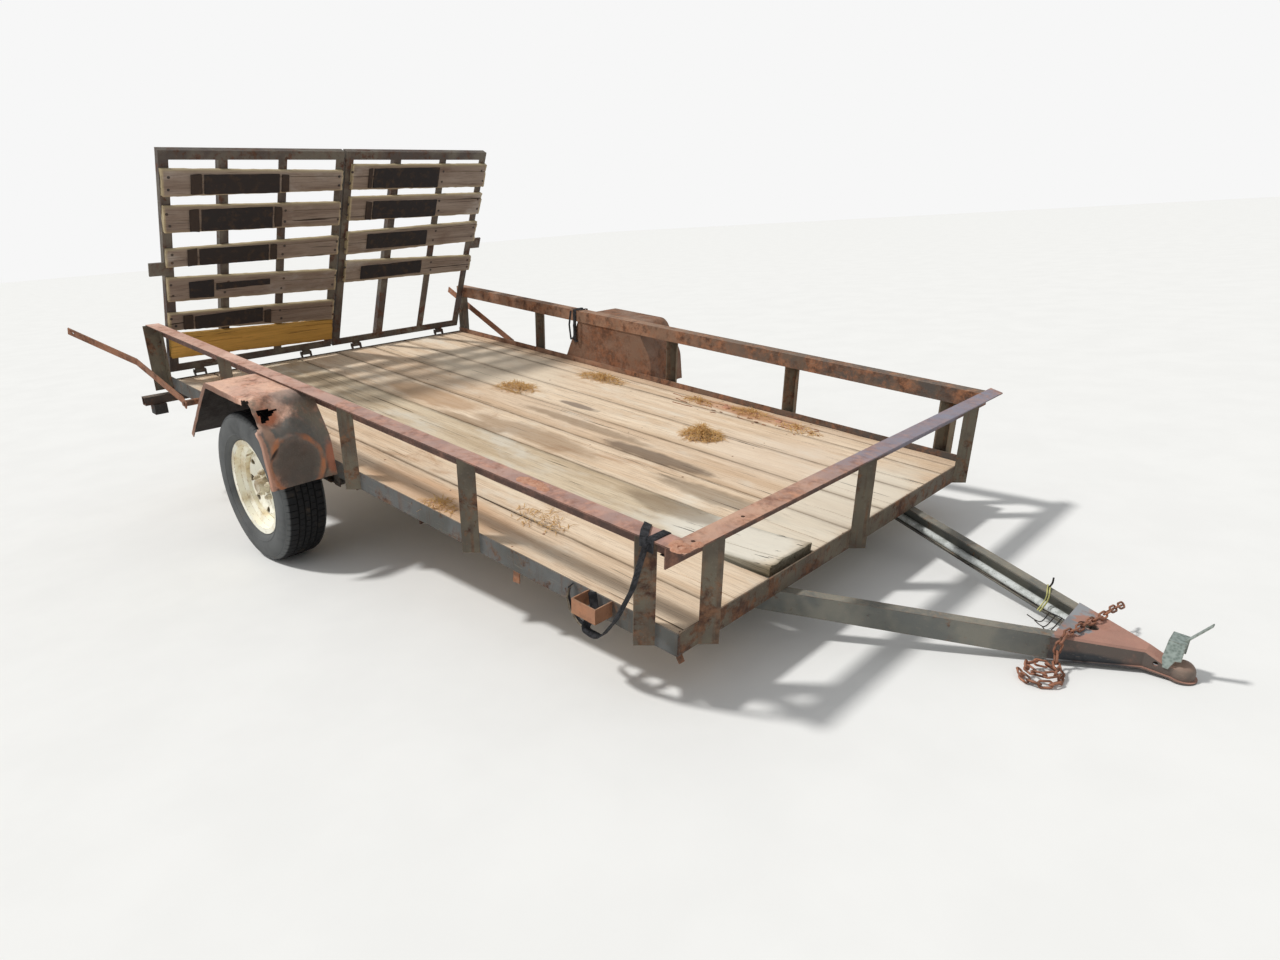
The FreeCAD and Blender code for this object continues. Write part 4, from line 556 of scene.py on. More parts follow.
# Near fender: the pale paint holds painted sunlight and sheen of the lit top besides the rusty colour; the
# fade to grey paints shade on the front face, and the under colour paints shade beneath.
NEAR_FENDER_STEEL = WornSteel(
    "near fender steel with painted sunlight and shade", "f0c4aa", "e0b8a4", rust="dea48a", deep="845846", rusted=0.34, patch=0.13,
    # Painted shade: the fade darkens the front face, the under colour the faces beneath.
    soft=0.14, dust=0.1, pits=0.0018, streaks=0.4, fade=Fade(0, 1.71, 1.78, "606464", "847c6e"),
    under="2c2420",
    spots=(
        Spot((1.83, -1.09, 0.06), (0.12, 0.17, 0.16), "706e68", 0.7, 1.1),
        Spot((1.71, -1.06, 0.27), (0.07, 0.1, 0.05), "807670", 0.6, 1.2),
        Spot((1.765, -1.18, 0.22), (0.055, 0.06, 0.05), "be704e", 0.9, 0.9),
        Spot((1.8, -1.205, 0.12), (0.06, 0.026, 0.11), "b08a74", 0.75, 1.0),
        Spot((1.845, -1.125, 0.02), (0.12, 0.116, 0.12), "5c524a", 0.8, 0.5, "be7c56"),
        Spot((1.3, -1.2435, 0.15), (0.46, 0.005, 0.4), "765444", 0.9, 0.3),
        Spot((1.82, -1.238, 0.05), (0.08, 0.012, 0.2), "be8e78", 0.8, 0.9),
        Spot((1.855, -0.985, 0.02), (0.05, 0.03, 0.09), "ba765a", 0.85),
        Spot((1.8, -1.1, 0.16), (0.06, 0.1, 0.05), "6c6c68", 0.6, 1.0),
    ),
)
FAR_FENDER_STEEL = WornSteel(
    "far fender steel", "846856", "927462", rust="926246", deep="604232", rusted=0.5, patch=0.16, soft=0.12,
    dust=0.2,
)
TONGUE_STEEL = WornSteel("tongue steel", "848278", "6c6e6a", rust="92745e", rusted=0.22, dust=0.35)
# Coupler: the flank colour is painted shade on the sides of the skirt; two of the spots are painted shade and
# a painted highlight.
COUPLER_STEEL = WornSteel(
    "coupler steel with painted shade and highlight", "94989c", "808286", rust="b8826e", deep="845c4e", rusted=0.16, patch=0.06, soft=0.1,
    dust=0.1, edge=0.3, fade=Fade(0, 4.445, 4.475, "b48676", "a87e70"), flank_shade_and_tone="625852",
    spots=(
        Spot((4.735, 0.0, -0.03), (0.06, 0.06, 0.12), "8c7a6c", 0.8),
        # Painted shade low on the near skirt.
        Spot((4.56, -0.1, -0.128), (0.2, 0.08, 0.03), "30363c", 0.9, 0.4),
        # Painted highlight along the flared lip.
        Spot((4.6, -0.08, -0.157), (0.2, 0.09, 0.012), "9c9692", 0.8, 0.3),
    ),
)
RUSTY_BAR = WornSteel("rusty bar", "846652", "926e58", rust="a46e4e", rusted=0.5, soft=0.12, dust=0.2)
STAY_STEEL = WornSteel("stay steel", "a47256", "966c56", rust="a87050", rusted=0.4, soft=0.12, dust=0.3)
CHAIN_RUST = WornSteel("chain rust", "a06e58", "8c5e4a", rust="b67c60", rusted=0.5, patch=0.02, dust=0.1)
GEAR_STEEL = WornSteel("running gear steel", "3a3634", "4a443e", rust="624a3a", rusted=0.4, dust=0.3)
GATE_STEEL = WornSteel("gate steel", "524a46", "6c665c", rust="684a3c", rusted=0.35, streaks=0.4, dust=0.1)
GUARD_STEEL = WornSteel(
    "lamp guard steel", "a28066", "b0886c", rust="bc805c", rusted=0.45, soft=0.12, flank_shade_and_tone="aa7a5c",
)
LAMP_STEEL = WornSteel("lamp box steel", "2e2c2c", "3a3634", rust="604638", rusted=0.2, dust=0.3)
ZINC = DullPlate()
WHEEL_PAINT = AgedPaint("cream wheel paint", "fcf9e8", "e4d4b2")
HUB_PAINT = AgedPaint("hub paint", pale="d4ccb6", yellow="968264")
TYRE_RUBBER = WornRubber()
PIPE_PLASTIC = SpeckledCover(
    "pipe plastic", "d6dad8", "acb0ac", "3c3c3a", scale=18, blotched=0.4, depth=0.0004,
)
DECK_WOOD = WeatheredWood(
    "deck wood", pale="f2dec4", middle="e0c6a8", dark="8a7058", edge="685644", coarse=0.6, split_from=0.69,
    silver="e8e0d0", stain="b08662", silvered=0.35, stained=0.32,
    spots=stains(
        -0.03, (1.25, -0.1, 0.5, 0.12, "b89472", 0.7), (2.1, -0.13, 0.55, 0.1, "9e8266", 0.65),
        (0.95, 0.55, 0.7, 0.4, "e2d4be", 0.6), (1.92, 0.335, 0.17, 0.035, "807064", 0.8),
        (2.15, 0.14, 0.55, 0.05, "887058", 0.6), (2.7, 0.06, 0.42, 0.06, "68584a", 0.75),
        (3.15, -0.1, 0.36, 0.08, "7c6c5a", 0.6), (2.45, -0.45, 0.8, 0.22, "deceb4", 0.5),
        (3.2, 0.45, 0.6, 0.3, "e2ceb8", 0.5), (1.75, -0.22, 0.3, 0.05, "967c62", 0.6),
        (2.62, 0.87, 0.45, 0.08, "c48e68", 0.65), (3.52, 0.15, 0.26, 0.75, "e2dccc", 0.6),
        (2.4, -0.86, 0.7, 0.1, "cca07a", 0.5),
    ),
)
WARPED_WOOD = WeatheredWood(
    "warped board wood", pale="deccb0", middle="c8b294", dark="826e58", edge="504c38", silver="dcd6c8",
    stain="a08062", silvered=0.5, stained=0.15, edge_share=0.9,
    spots=(
        Spot((3.45, -0.36, -0.01), (0.34, 0.22, 0.2), "e8e4d8", 0.75),
        Spot((3.1, -0.3, -0.03), (0.3, 0.08, 0.2), "7c6a56", 0.6),
    ),
)
LATH_WOOD = WeatheredWood(
    "lath wood", pale="9c8e82", middle="86766a", dark="4c3e36", coarse=0.7, edge="d6c498", silver="b6aea6",
    stain="705a4e", silvered=0.3, stained=0.35, lean=Lean.GATE, axis=1, edge_share=0.7,
)
YELLOW_WOOD = WeatheredWood(
    "yellowed board", pale="d6a658", middle="c0944c", dark="886838", edge="8c703e", silver="a08454",
    stain="644e30", silvered=0.1, stained=0.35, lean=Lean.GATE, axis=1, edge_share=0.4,
)
MAT_COVER = SpeckledCover("old mat", "2c2a2c", "483a30", "1a191a", scale=26, blotched=0.2, depth=0.003)
WEBBING = SpeckledCover("black webbing", "2e2f32", "4e4e52", "161618", scale=60, depth=0.0008, weave=260)
PALE_WEBBING = SpeckledCover(
    "bleached webbing", "a89e8c", "786c5e", "463e36", scale=60, depth=0.0008, weave=260,
)
STRAW = SpeckledCover("dry straw", "deb87a", "be9258", "825e3a", scale=40, blotched=0.5, depth=0.0003)
BARK = SpeckledCover("twig bark", "84543c", "aa7454", "463026", scale=40, blotched=0.5, depth=0.0005)
CRUST = SpeckledCover("rust crust", "c08a70", "ce9e84", "684234", scale=48, blotched=0.5, depth=0.004)
TIE_WIRE = SpeckledCover("tie wire", "ccc884", "aaa86e", "686242", scale=30, depth=0.0003, rough=0.55)
DARK_WIRE = SpeckledCover("dark wire", "282626", "463e38", "181616", scale=40, depth=0.0003, rough=0.6)

NODE_FINISHES: dict[Finish, str] = {
    FRAME_STEEL: "side_frame_near",
    FAR_RAIL_STEEL: "side_frame_far rail_far",
    FRONT_STEEL: "front_frame",
    REAR_STEEL: "rear_frame rear_beam",
    NEAR_RAIL_STEEL: "rail_near",
    FRONT_RAIL_STEEL: "rail_front",
    POST_STEEL: "side_posts front_posts rear_posts",
    FAR_FENDER_STEEL: "fender_far",
    TONGUE_STEEL: "tongue_near tongue_far",
    COUPLER_STEEL: "coupler",
    ZINC: "coupler_latch",
    PIPE_PLASTIC: "conduit",
    GEAR_STEEL: "cross_members axle leaf_springs spring_hangers axle_u_bolts gate_pins",
    LAMP_STEEL: "lamp_boxes",
    GUARD_STEEL: "lamp_guard",
    WEBBING: "strap_near strap_far",
    RUSTY_BAR: "stay_lugs",
    WHEEL_PAINT: "rim_near rim_far",
    HUB_PAINT: "hub_near hub_far",
    GATE_STEEL: "gate_frame_near gate_frame_far",
    STAY_STEEL: "stay_near stay_far",
}


def circle(centre: Vector, side: Vector, other: Vector, wide: float, count: int) -> list[Vector]:
    """Even points round a centre, in the plane of two directions."""
    turns = [math.tau * step / count for step in range(count)]
    return [centre + (side * math.cos(turn) + other * math.sin(turn)) * wide for turn in turns]


def put(name: str, data: bpy.types.ID) -> bpy.types.Object:
    """A new object in the scene."""
    item = bpy.data.objects.new(name, data)
    bpy.context.scene.collection.objects.link(item)
    return item


def wobble(point: Vector, scale: float, seed: float = 0.0) -> float:
    """Smooth noise from -1 to 1 at a point."""
    x, y, z = point
    return noise.noise(Vector((x * scale + seed, y * scale - seed, z * scale + 0.37 * seed)))


class MeshDraft:
    """Points and faces of a piece, gathered in one frame before it becomes an object."""

    def __init__(self) -> None:
        """Start with nothing."""
        self.points: list[Vector] = []
        self.faces: list[tuple[int, ...]] = []
        self.marks: dict[str, list[float]] = {}

    def add(self, points: Sequence[Vector], faces: Sequence[Sequence[int]], **marks: Mark) -> None:
        """Add points, the faces between them, and the values that they carry."""
        start = len(self.points)
        self.points.extend(points)
        self.faces.extend(tuple(start + index for index in face) for face in faces)
        for name, value in marks.items():
            held = self.marks.setdefault(name, [])
            held.extend([0.0] * (start - len(held)))
            held.extend(value if isinstance(value, list) else [value] * len(points))

    def rings(self, rings: Sequence[Sequence[Vector]], closed: bool = False, **marks: Mark) -> None:
        """Skin rings of as many points each, with end caps unless they close on themselves."""
        count = len(rings[0])
        faces: list[Sequence[int]] = []
        for index in range(len(rings) if closed else len(rings) - 1):
            first, second = index * count, (index + 1) % len(rings) * count
            for spot in range(count):
                after = (spot + 1) % count
                faces.append((first + spot, first + after, second + after, second + spot))
        if not closed:
            faces += [range(count)[::-1], range((len(rings) - 1) * count, len(rings) * count)]
        self.add([point for ring in rings for point in ring], faces, **marks)

    def rod(
        self, path: Sequence[Vector], radius: float | Callable[[float], float], sides: int = 8, **marks: float
    ) -> None:
        """A round bar along a path, its radius given once or by the share of the way along."""
        rings = []
        side = Vector((0.0, 0.0, 1.0))
        for index, point in enumerate(path):
            along = (path[min(index + 1, len(path) - 1)] - path[max(index - 1, 0)]).normalized()
            if abs(along.dot(side)) > 0.95:
                side = Vector((1.0, 0.0, 0.0))
            side = (side - along * side.dot(along)).normalized()
            wide = radius(index / max(len(path) - 1, 1)) if callable(radius) else radius
            rings.append(circle(point, side, along.cross(side), wide, sides))
        self.rings(rings, **marks)

    def piece(
        self, name: str, finish: Finish, slot: str, crease: float = 35.0, body: str = "chassis",
        matrix: Matrix = REST, replaced: str = "",
    ) -> None:
        """Make the object, dress it and hand it to its body.

        Args:
            name: The piece's name.
            finish: What covers it.
            slot: Not used.
            crease: Angle in degrees above which an edge stays sharp.
            body: The body that it rides on.
            matrix: From the draft's frame to the row frame.
            replaced: The solid that it stands for.
        """
        mesh = bpy.data.meshes.new(name)
        mesh.from_pydata([matrix @ point for point in self.points], [], self.faces)
        mesh.validate()
        for label, values in self.marks.items():
            values.extend([0.0] * (len(self.points) - len(values)))
            mesh.attributes.new(label, "FLOAT", "POINT").data.foreach_set("value", values)
        mesh.polygons.foreach_set("use_smooth", [True] * len(mesh.polygons))
        mesh.set_sharp_from_angle(angle=math.radians(crease))
        mesh.materials.append(material_of(finish))
        item = put(name, mesh)
        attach(item, body)
        if replaced:
            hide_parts(replaced)
        LOG.info("%s: %d faces on %s", name, len(mesh.polygons), body)


@dataclass(frozen=True)
class Split:
    """A split along a board's upper face: its place across, where it starts and ends, and its depth."""

    across: float
    start: float
    end: float
    depth: float

    def cut(self, share: float) -> float:
        """How deep it is at a share of the board's length."""
        inside = (share - self.start) / max(self.end - self.start, 1e-6)
        return self.depth * math.sin(math.pi * inside) ** 0.5 if 0 < inside < 1 else 0.0


def on_deck(along: float, across: float, up: float) -> Vector:
    """A board's place along, across and up in the level frame."""
    return Vector((along, across, up))


def on_gate(along: float, across: float, up: float) -> Vector:
    """The same in a gate's frame."""
    return Vector((up, along, across))


@dataclass(frozen=True)
class Board:
    """A weathered board: its box, both edges' places at its ends, its wear, its splits and how it lifts."""

    start: float
    end: float
    right: Pair
    left: Pair
    under: float
    over: float
    seed: int
    step: float = 0.03
    columns: int = 8
    ragged: float = 0.012
    worn: float = 0.004
    splits: tuple[Split, ...] = ()
    lift: Callable[[float], float] | None = None
    tint: float = 0.0
    round: float = 0.005

    def across(self) -> list[tuple[float, Split | None]]:
        """Places across the upper face, each with the split that runs there."""
        places = [((index + 1) / (self.columns + 1), None) for index in range(self.columns)]
        for split in self.splits:
            places = [place for place in places if abs(place[0] - split.across) > 0.03]
            places += [(split.across - 0.012, None), (split.across, split), (split.across + 0.012, None)]
        return sorted(places, key=lambda place: place[0])

    def ring(self, share: float, width: float) -> list[Triple]:
        """Places round the board's section: shares across and up, and how near an edge is."""
        thick = self.over - self.under
        edge = min(self.round, thick * 0.25)
        corner = [
            (0.0, 0.12, 1.0),
            (0.0, 1.0 - edge / thick, 1.0),
            (edge * 0.35 / width, 1.0 - edge * 0.3 / thick, 0.8),
            (edge / width, 1.0, 0.35),
        ]
        cuts = [(place, split.cut(share) if split else 0.0) for place, split in self.across()]
        upper = [(place, 1.0 - cut / thick, min(1.0, cut * 160)) for place, cut in cuts]
        mirrored = [(1.0 - place, height, near_edge) for place, height, near_edge in reversed(corner)]
        low = edge * 0.5 / width
        return corner + upper + mirrored + [(1.0 - low, 0.0, 0.3), (0.5, 0.0, 0.0), (low, 0.0, 0.3)]

    def draw(self, draft: MeshDraft, turn: Callable[[float, float, float], Vector] = on_deck) -> None:
        """Add the board to a draft.

        Args:
            draft: Where it goes.
            turn: From along, across and up to the draft's frame.
        """
        rng = random.Random(self.seed)
        thick = self.over - self.under
        length = self.end - self.start
        count = max(4, round(length / self.step))
        rings, edges = [], []
        for station in range(count + 1):
            share = station / count
            along = self.start + length * share
            right = self.right[0] + (self.right[1] - self.right[0]) * share
            width = self.left[0] + (self.left[1] - self.left[0]) * share - right
            at_end = station in (0, count)
            rings.append([])
            for place, height, near_edge in self.ring(share, width):
                x, y, z = along, right + width * place, self.under + thick * height
                rough = wobble(Vector((along * 3, y * 20, z * 20)), 1.0, self.seed)
                dip = self.worn * (0.35 * rough + 0.3 * wobble(Vector((along, y, z)), 9, self.seed + 5))
                inward = self.worn * near_edge * abs(wobble(Vector((along * 4, y, z)), 4, self.seed + 9))
                y += inward * (1 if place < 0.5 else -1)
                z += dip * (0.8 if height > 0.5 else 0.2) - (inward if height > 0.5 else 0.0)
                z += self.lift(along) if self.lift else 0.0
                if at_end:
                    jag = self.ragged * (0.5 + 0.5 * wobble(Vector((0, y * 60, z * 45)), 1.0, self.seed + 3))
                    jag += self.ragged * 0.6 * rng.random() + (0.004 if near_edge > 0.9 else 0.0)
                    x += jag if station == 0 else -jag
                rings[-1].append(turn(x, y, z))
                edges.append(1.0 if at_end else near_edge)
        draft.rings(rings, tint=self.tint, edge=edges)


def nail(draft: MeshDraft, centre: Vector, out: Vector, radius: float, proud: float) -> None:
    """A round nail or screw head, slightly domed, standing on a face."""
    side = out.orthogonal().normalized()
    shape = ((radius, -0.002), (radius, proud * 0.6), (radius * 0.6, proud), (radius * 0.15, proud * 1.05))
    draft.rings([circle(centre + out * high, side, out.cross(side), wide, 8) for wide, high in shape])


@dataclass(frozen=True)
class DeckBoards:
    """The plank deck: eight boards, the one whose front end has lifted, and their screws."""

    start: float = 0.0055
    front: float = 3.705
    floor: float = -0.067
    thick: float = 0.040
    inner: float = 0.967
    gap: float = 0.005
    warp_run: float = 0.610
    warp_rise: float = 0.037
    seams: tuple[Triple, ...] = (
        (-0.967, -0.738, 0.004), (-0.738, -0.487, 0.009), (-0.237, 0.014, 0.005), (0.014, 0.262, 0.011),
        (0.262, 0.508, 0.006), (0.508, 0.775, 0.003), (0.775, 0.893, 0.008), (0.893, 0.967, 0.004),
    )
    warped: Triple = (-0.487, -0.237, 0.018)
    tints: tuple[float, ...] = (0.45, 0.3, 0.15, 0.55, 0.0, 0.2, 0.35, 0.8)
    supports: tuple[float, ...] = (0.028, 0.49, 0.96, 1.44, 1.92, 2.39, 2.935, 3.68)
    screw_inset: float = 0.045
    screw_head: Pair = (0.0055, 0.0012)
    screw_drift: float = 0.006
    wide_board: float = 0.15
    split_start: Pair = (0.1, 0.7)
    split_run: Pair = (0.1, 0.22)
    split_depth: Pair = (0.002, 0.004)
    end_split: float = 0.008

    def edges(self, right: float, left: float) -> Pair:
        """A board's faces, with half a gap at each seam."""
        low = right + (0.0005 if right <= -self.inner else self.gap / 2)
        return low, left - (0.0005 if left >= self.inner else self.gap / 2)

    def lift(self, along: float) -> float:
        """Rise of the warped board's end, along an arc."""
        run = max(0.0, along - (self.front - self.warped[2] - self.warp_run))
        radius = (self.warp_run**2 + self.warp_rise**2) / (2 * self.warp_rise)
        return radius - math.sqrt(radius * radius - run * run)

    def board(
        self, seam: Triple, seed: int, tint: float, lift: Callable[[float], float] | None = None
    ) -> Board:
        """One board of the deck."""
        rng = random.Random(seed * 7 + 1)
        low, high = self.edges(seam[0], seam[1])
        splits = []
        for index in range(2 if high - low > self.wide_board else 1):
            start = rng.uniform(*self.split_start)
            across = 0.3 + 0.4 * index + rng.uniform(-0.08, 0.08)
            end = start + rng.uniform(*self.split_run)
            splits.append(Split(across, start, end, rng.uniform(*self.split_depth)))
        splits[0] = Split(splits[0].across, 0.93 - 0.05 * rng.random(), 1.25, self.end_split)
        end, over = self.front - seam[2], self.floor + self.thick
        box = (self.start, end, (low, low), (high, high), self.floor, over)
        return Board(*box, seed, splits=tuple(splits), lift=lift, tint=tint)

    def build(self) -> None:
        """Make the boards and their screws."""
        boards, raised, screws = MeshDraft(), MeshDraft(), MeshDraft()
        for index, seam in enumerate(self.seams):
            self.board(seam, index + 3, self.tints[index]).draw(boards)
            low, high = self.edges(seam[0], seam[1])
            inset = min(self.screw_inset, (high - low) * 0.3)
            for ahead in self.supports:
                for left in (low + inset, high - inset):
                    shift = self.screw_drift * wobble(Vector((ahead, left, 0)), 30)
                    head = Vector((ahead + shift, left + shift, self.floor + self.thick - 0.001))
                    nail(screws, head, Vector((0, 0, 1)), *self.screw_head)
        self.board(self.warped, 21, 0.1, self.lift).draw(raised)
        boards.piece("deck_boards", DECK_WOOD, "deck_wood", replaced="deck_planks")
        screws.piece("deck_screws", RUSTY_BAR, "rust")
        raised.piece("warped_board", WARPED_WOOD, "deck_wood", replaced="raised_plank")


@dataclass(frozen=True)
class GateCover:
    """Laths, old mats and nails on one gate, in the gate's frame."""

    side: str
    ends: Pair
    rows: tuple[tuple[float, ...], ...]
    mats: tuple[tuple[float, ...], ...]
    uprights: tuple[float, ...]
    thick: float = 0.022
    behind: float = 0.0003
    mat_thick: float = 0.003
    narrow: float = 0.08
    nailed: Pair = (0.28, 0.72)
    head: Pair = (0.0075, 0.003)
    nail_drift: Pair = (-0.012, 0.012)
    mat_skew: Pair = (-0.006, 0.006)
    seeds: tuple[int, int] = (17, 40)

    def plank(self, row: tuple[float, ...], seed: int, tint: float) -> Board:
        """One lath, from its lower and upper edges at both ends."""
        rng = random.Random(seed)
        middle = rng.uniform(0.35, 0.65)
        splits = (
            Split(middle, rng.uniform(0.0, 0.2), rng.uniform(0.35, 0.6), 0.005),
            Split(min(middle + 0.25, 0.9), rng.uniform(0.5, 0.7), 1.2, 0.006),
        )
        box = (*self.ends, (row[0], row[2]), (row[1], row[3]), self.behind, self.thick)
        return Board(*box, seed, step=0.02, columns=6, ragged=0.010, worn=0.005, splits=splits, tint=tint)

    def build(self) -> None:
        """Make the laths, mats and nails."""
        laths, mats, nails = MeshDraft(), MeshDraft(), MeshDraft()
        rng = random.Random(self.seeds[0])
        for index, row in enumerate(self.rows):
            self.plank(row, index + self.seeds[1], rng.random() * 0.8).draw(laths, on_gate)
            for left in self.uprights:
                share = (left - self.ends[0]) / (self.ends[1] - self.ends[0])
                low = row[0] + (row[2] - row[0]) * share
                high = row[1] + (row[3] - row[1]) * share
                for part in self.nailed:
                    across = left + rng.uniform(*self.nail_drift)
                    spot = Vector((self.thick - 0.001, across, low + (high - low) * part))
                    nail(nails, spot, Vector((1, 0, 0)), *self.head)
        for index, (right, left, low, high) in enumerate(self.mats):
            narrow = left - right < self.narrow
            edges = [(height, height + rng.uniform(*self.mat_skew)) for height in (low, high)]
            over = self.thick + self.mat_thick + (0.004 if narrow else 0.002)
            tint = 1.0 if narrow else rng.random() * 0.4
            box = (right, left, *edges, self.thick + 0.0005, over)
            mat = Board(*box, index + 90, step=0.016, columns=7, ragged=0.003, worn=0.006, tint=tint)
            mat.draw(mats, on_gate)
        side, gate = self.side, {"body": f"gate_{self.side}", "matrix": GATE}
        laths.piece(f"gate_boards_{side}", LATH_WOOD, "lath_wood", replaced=f"gate_laths_{side}", **gate)
        mats.piece(f"mat_strips_{side}", MAT_COVER, "mat_rubber", replaced=f"gate_mats_{side}", **gate)
        nails.piece(f"lath_nails_{side}", GEAR_STEEL, "dark_steel", **gate)


NEAR_COVER = GateCover(
    "near", (-0.96, -0.01),
    (
        (1.033, 1.173, 1.044, 1.157), (0.848, 0.988, 0.837, 0.978), (0.659, 0.761, 0.656, 0.774),
        (0.465, 0.604, 0.428, 0.562), (0.293, 0.397, 0.222, 0.359),
    ),
    (
        (-0.824, -0.767, 1.046, 1.146), (-0.76, -0.375, 1.046, 1.146), (-0.368, -0.325, 1.048, 1.142),
        (-0.835, -0.786, 0.852, 0.968), (-0.778, -0.409, 0.852, 0.968), (-0.402, -0.358, 0.852, 0.968),
        (-0.852, -0.801, 0.663, 0.756), (-0.793, -0.427, 0.663, 0.756), (-0.42, -0.381, 0.663, 0.756),
        (-0.85, -0.72, 0.478, 0.573), (-0.712, -0.416, 0.512, 0.552), (-0.886, -0.833, 0.292, 0.38),
        (-0.825, -0.454, 0.286, 0.366), (-0.446, -0.406, 0.272, 0.352),
    ),
    (-0.932, -0.655, -0.35, -0.029),
)
FAR_COVER = GateCover(
    "far", (0.03, 0.965),
    (
        (1.043, 1.19, 1.043, 1.19), (0.859, 1.003, 0.859, 1.003), (0.647, 0.79, 0.671, 0.811),
        (0.466, 0.61, 0.457, 0.568),
    ),
    (
        (0.136, 0.162, 1.056, 1.17), (0.168, 0.61, 1.056, 1.17), (0.135, 0.175, 0.868, 0.978),
        (0.181, 0.62, 0.868, 0.978), (0.162, 0.58, 0.68, 0.775), (0.14, 0.57, 0.48, 0.57),
    ),
    (0.029, 0.33, 0.64, 0.932), seeds=(29, 60),
)


@dataclass(frozen=True)
class GateBoard:
    """The one wider, yellowed board low on the near gate."""

    cover: GateCover = NEAR_COVER
    row: tuple[float, ...] = (0.117, 0.270, 0.079, 0.222)

    def build(self) -> None:
        """Make the board."""
        draft = MeshDraft()
        self.cover.plank(self.row, 77, 0.2).draw(draft, on_gate)
        draft.piece("yellow_board", YELLOW_WOOD, "board_wood", 35.0, "gate_near", GATE, "gate_board")


@dataclass(frozen=True)
class Tread:
    """A worn trailer tyre: five ribs, four grooves, cross cuts and ringed walls."""

    crown: float = 0.3298
    half_tread: float = 0.064
    shoulder: float = 0.052
    groove_places: tuple[float, ...] = (-0.039, -0.0125, 0.0125, 0.039)
    groove_half: float = 0.0032
    groove_depth: float = 0.0065
    rib_half: float = 0.0128
    crown_drop: float = 0.0012
    shoulder_run: float = 0.008
    shoulder_fall: float = 0.28
    inner_cut: float = 0.0032
    outer_cut: float = 0.0045
    outer_from: float = 0.05
    wall_cut: float = 0.0025
    wall_cut_from: float = 0.315
    scuffed: float = 0.0003
    pitches: int = 68
    columns: tuple[float, ...] = (0.0, 0.07, 0.14, 0.5, 0.57, 0.64)
    cut_columns: tuple[int, int] = (4, 1)
    wall: tuple[Pair, ...] = (
        (0.3235, 0.0785), (0.319, 0.0826), (0.3125, 0.0872), (0.311, 0.0868), (0.308, 0.087),
        (0.306, 0.0892), (0.296, 0.0928), (0.285, 0.0955), (0.274, 0.0967), (0.262, 0.0969), (0.25, 0.0958),
        (0.24, 0.0938), (0.2385, 0.095), (0.235, 0.0948), (0.2335, 0.0924), (0.225, 0.0888), (0.22, 0.085),
        (0.215, 0.079), (0.211, 0.0722), (0.196, 0.07), (0.1918, 0.0696),
    )
    inside: tuple[Pair, ...] = (
        (0.1918, 0.056), (0.23, 0.078), (0.262, 0.085), (0.3, 0.074), (0.312, 0.056),
    )

    def section(self) -> list[tuple[float, float, float, float, int]]:
        """Section round the tyre's wall: radius, across, wall share, groove share and rib of each point."""
        places = (self.half_tread + self.shoulder_run, self.half_tread, self.shoulder)
        side = [(across, 0.0, 0) for across in places]
        edges = list(side)
        wide = self.groove_half
        for index, place in enumerate(reversed(self.groove_places)):
            edges += [(place + wide, 0.0, index), (place + wide * 0.6, 1.0, -1)]
            edges += [(place - wide * 0.6, 1.0, -1), (place - wide, 0.0, index + 1)]
            if index < len(self.groove_places) - 1:
                edges.append((place - self.rib_half, 0.0, index + 1))
        edges += [(-across, 0.0, 4) for across, _, _ in reversed(side)]
        points = [(radius, across, 1.0, 0.0, -1) for radius, across in reversed(self.wall)]
        for across, groove, rib in edges:
            over = max(0.0, abs(across) - self.half_tread)
            radius = self.crown - self.crown_drop * (across / self.half_tread) ** 2
            radius -= over * self.shoulder_fall
            points.append((radius - groove * self.groove_depth, across, 0.0, groove, rib))
        points += [(radius, -across, 1.0, 0.0, -1) for radius, across in self.wall]
        points += [(radius, -across, 0.3, 0.6, -1) for radius, across in self.inside]
        return points + [(radius, across, 0.3, 0.6, -1) for radius, across in reversed(self.inside)]

    def cut(self, point: tuple[float, float, float, float, int], column: int) -> float:
        """How deep a cross cut is at a point of the section."""
        radius, across, wall, _, rib = point
        if rib >= 0:
            depth = self.outer_cut if abs(across) > self.outer_from else self.inner_cut
            return depth if column == self.cut_columns[rib % 2] else 0.0
        on_wall = wall and radius > self.wall_cut_from
        return self.wall_cut if on_wall and column == self.cut_columns[0] else 0.0

    def build(self, side: str) -> None:
        """Make one tyre."""
        rings, walls, grooves = [], [], []
        for pitch in range(self.pitches):
            for column, share in enumerate(self.columns):
                angle = math.tau * (pitch + share) / self.pitches
                rings.append([])
                for point in self.section():
                    radius, across, wall, groove, _ = point
                    cut = self.cut(point, column)
                    scuff = self.scuffed * noise.noise(Vector((angle * 9, across * 60, 1.0)))
                    ahead, up = (radius - cut) * math.sin(angle), (radius - cut) * math.cos(angle)
                    rings[-1].append(Vector((ahead, across, up)) * (1 - scuff))
                    walls.append(wall)
                    grooves.append(max(groove, min(1.0, cut * 200)))
        draft = MeshDraft()
        draft.rings(rings, closed=True, wall=walls, groove=grooves)
        matrix = STANDING.wheel(SIDES[side])
        draft.piece(f"tyre_tread_{side}", TYRE_RUBBER, "tyre", 28, f"wheel_{side}", matrix, f"tyre_{side}")


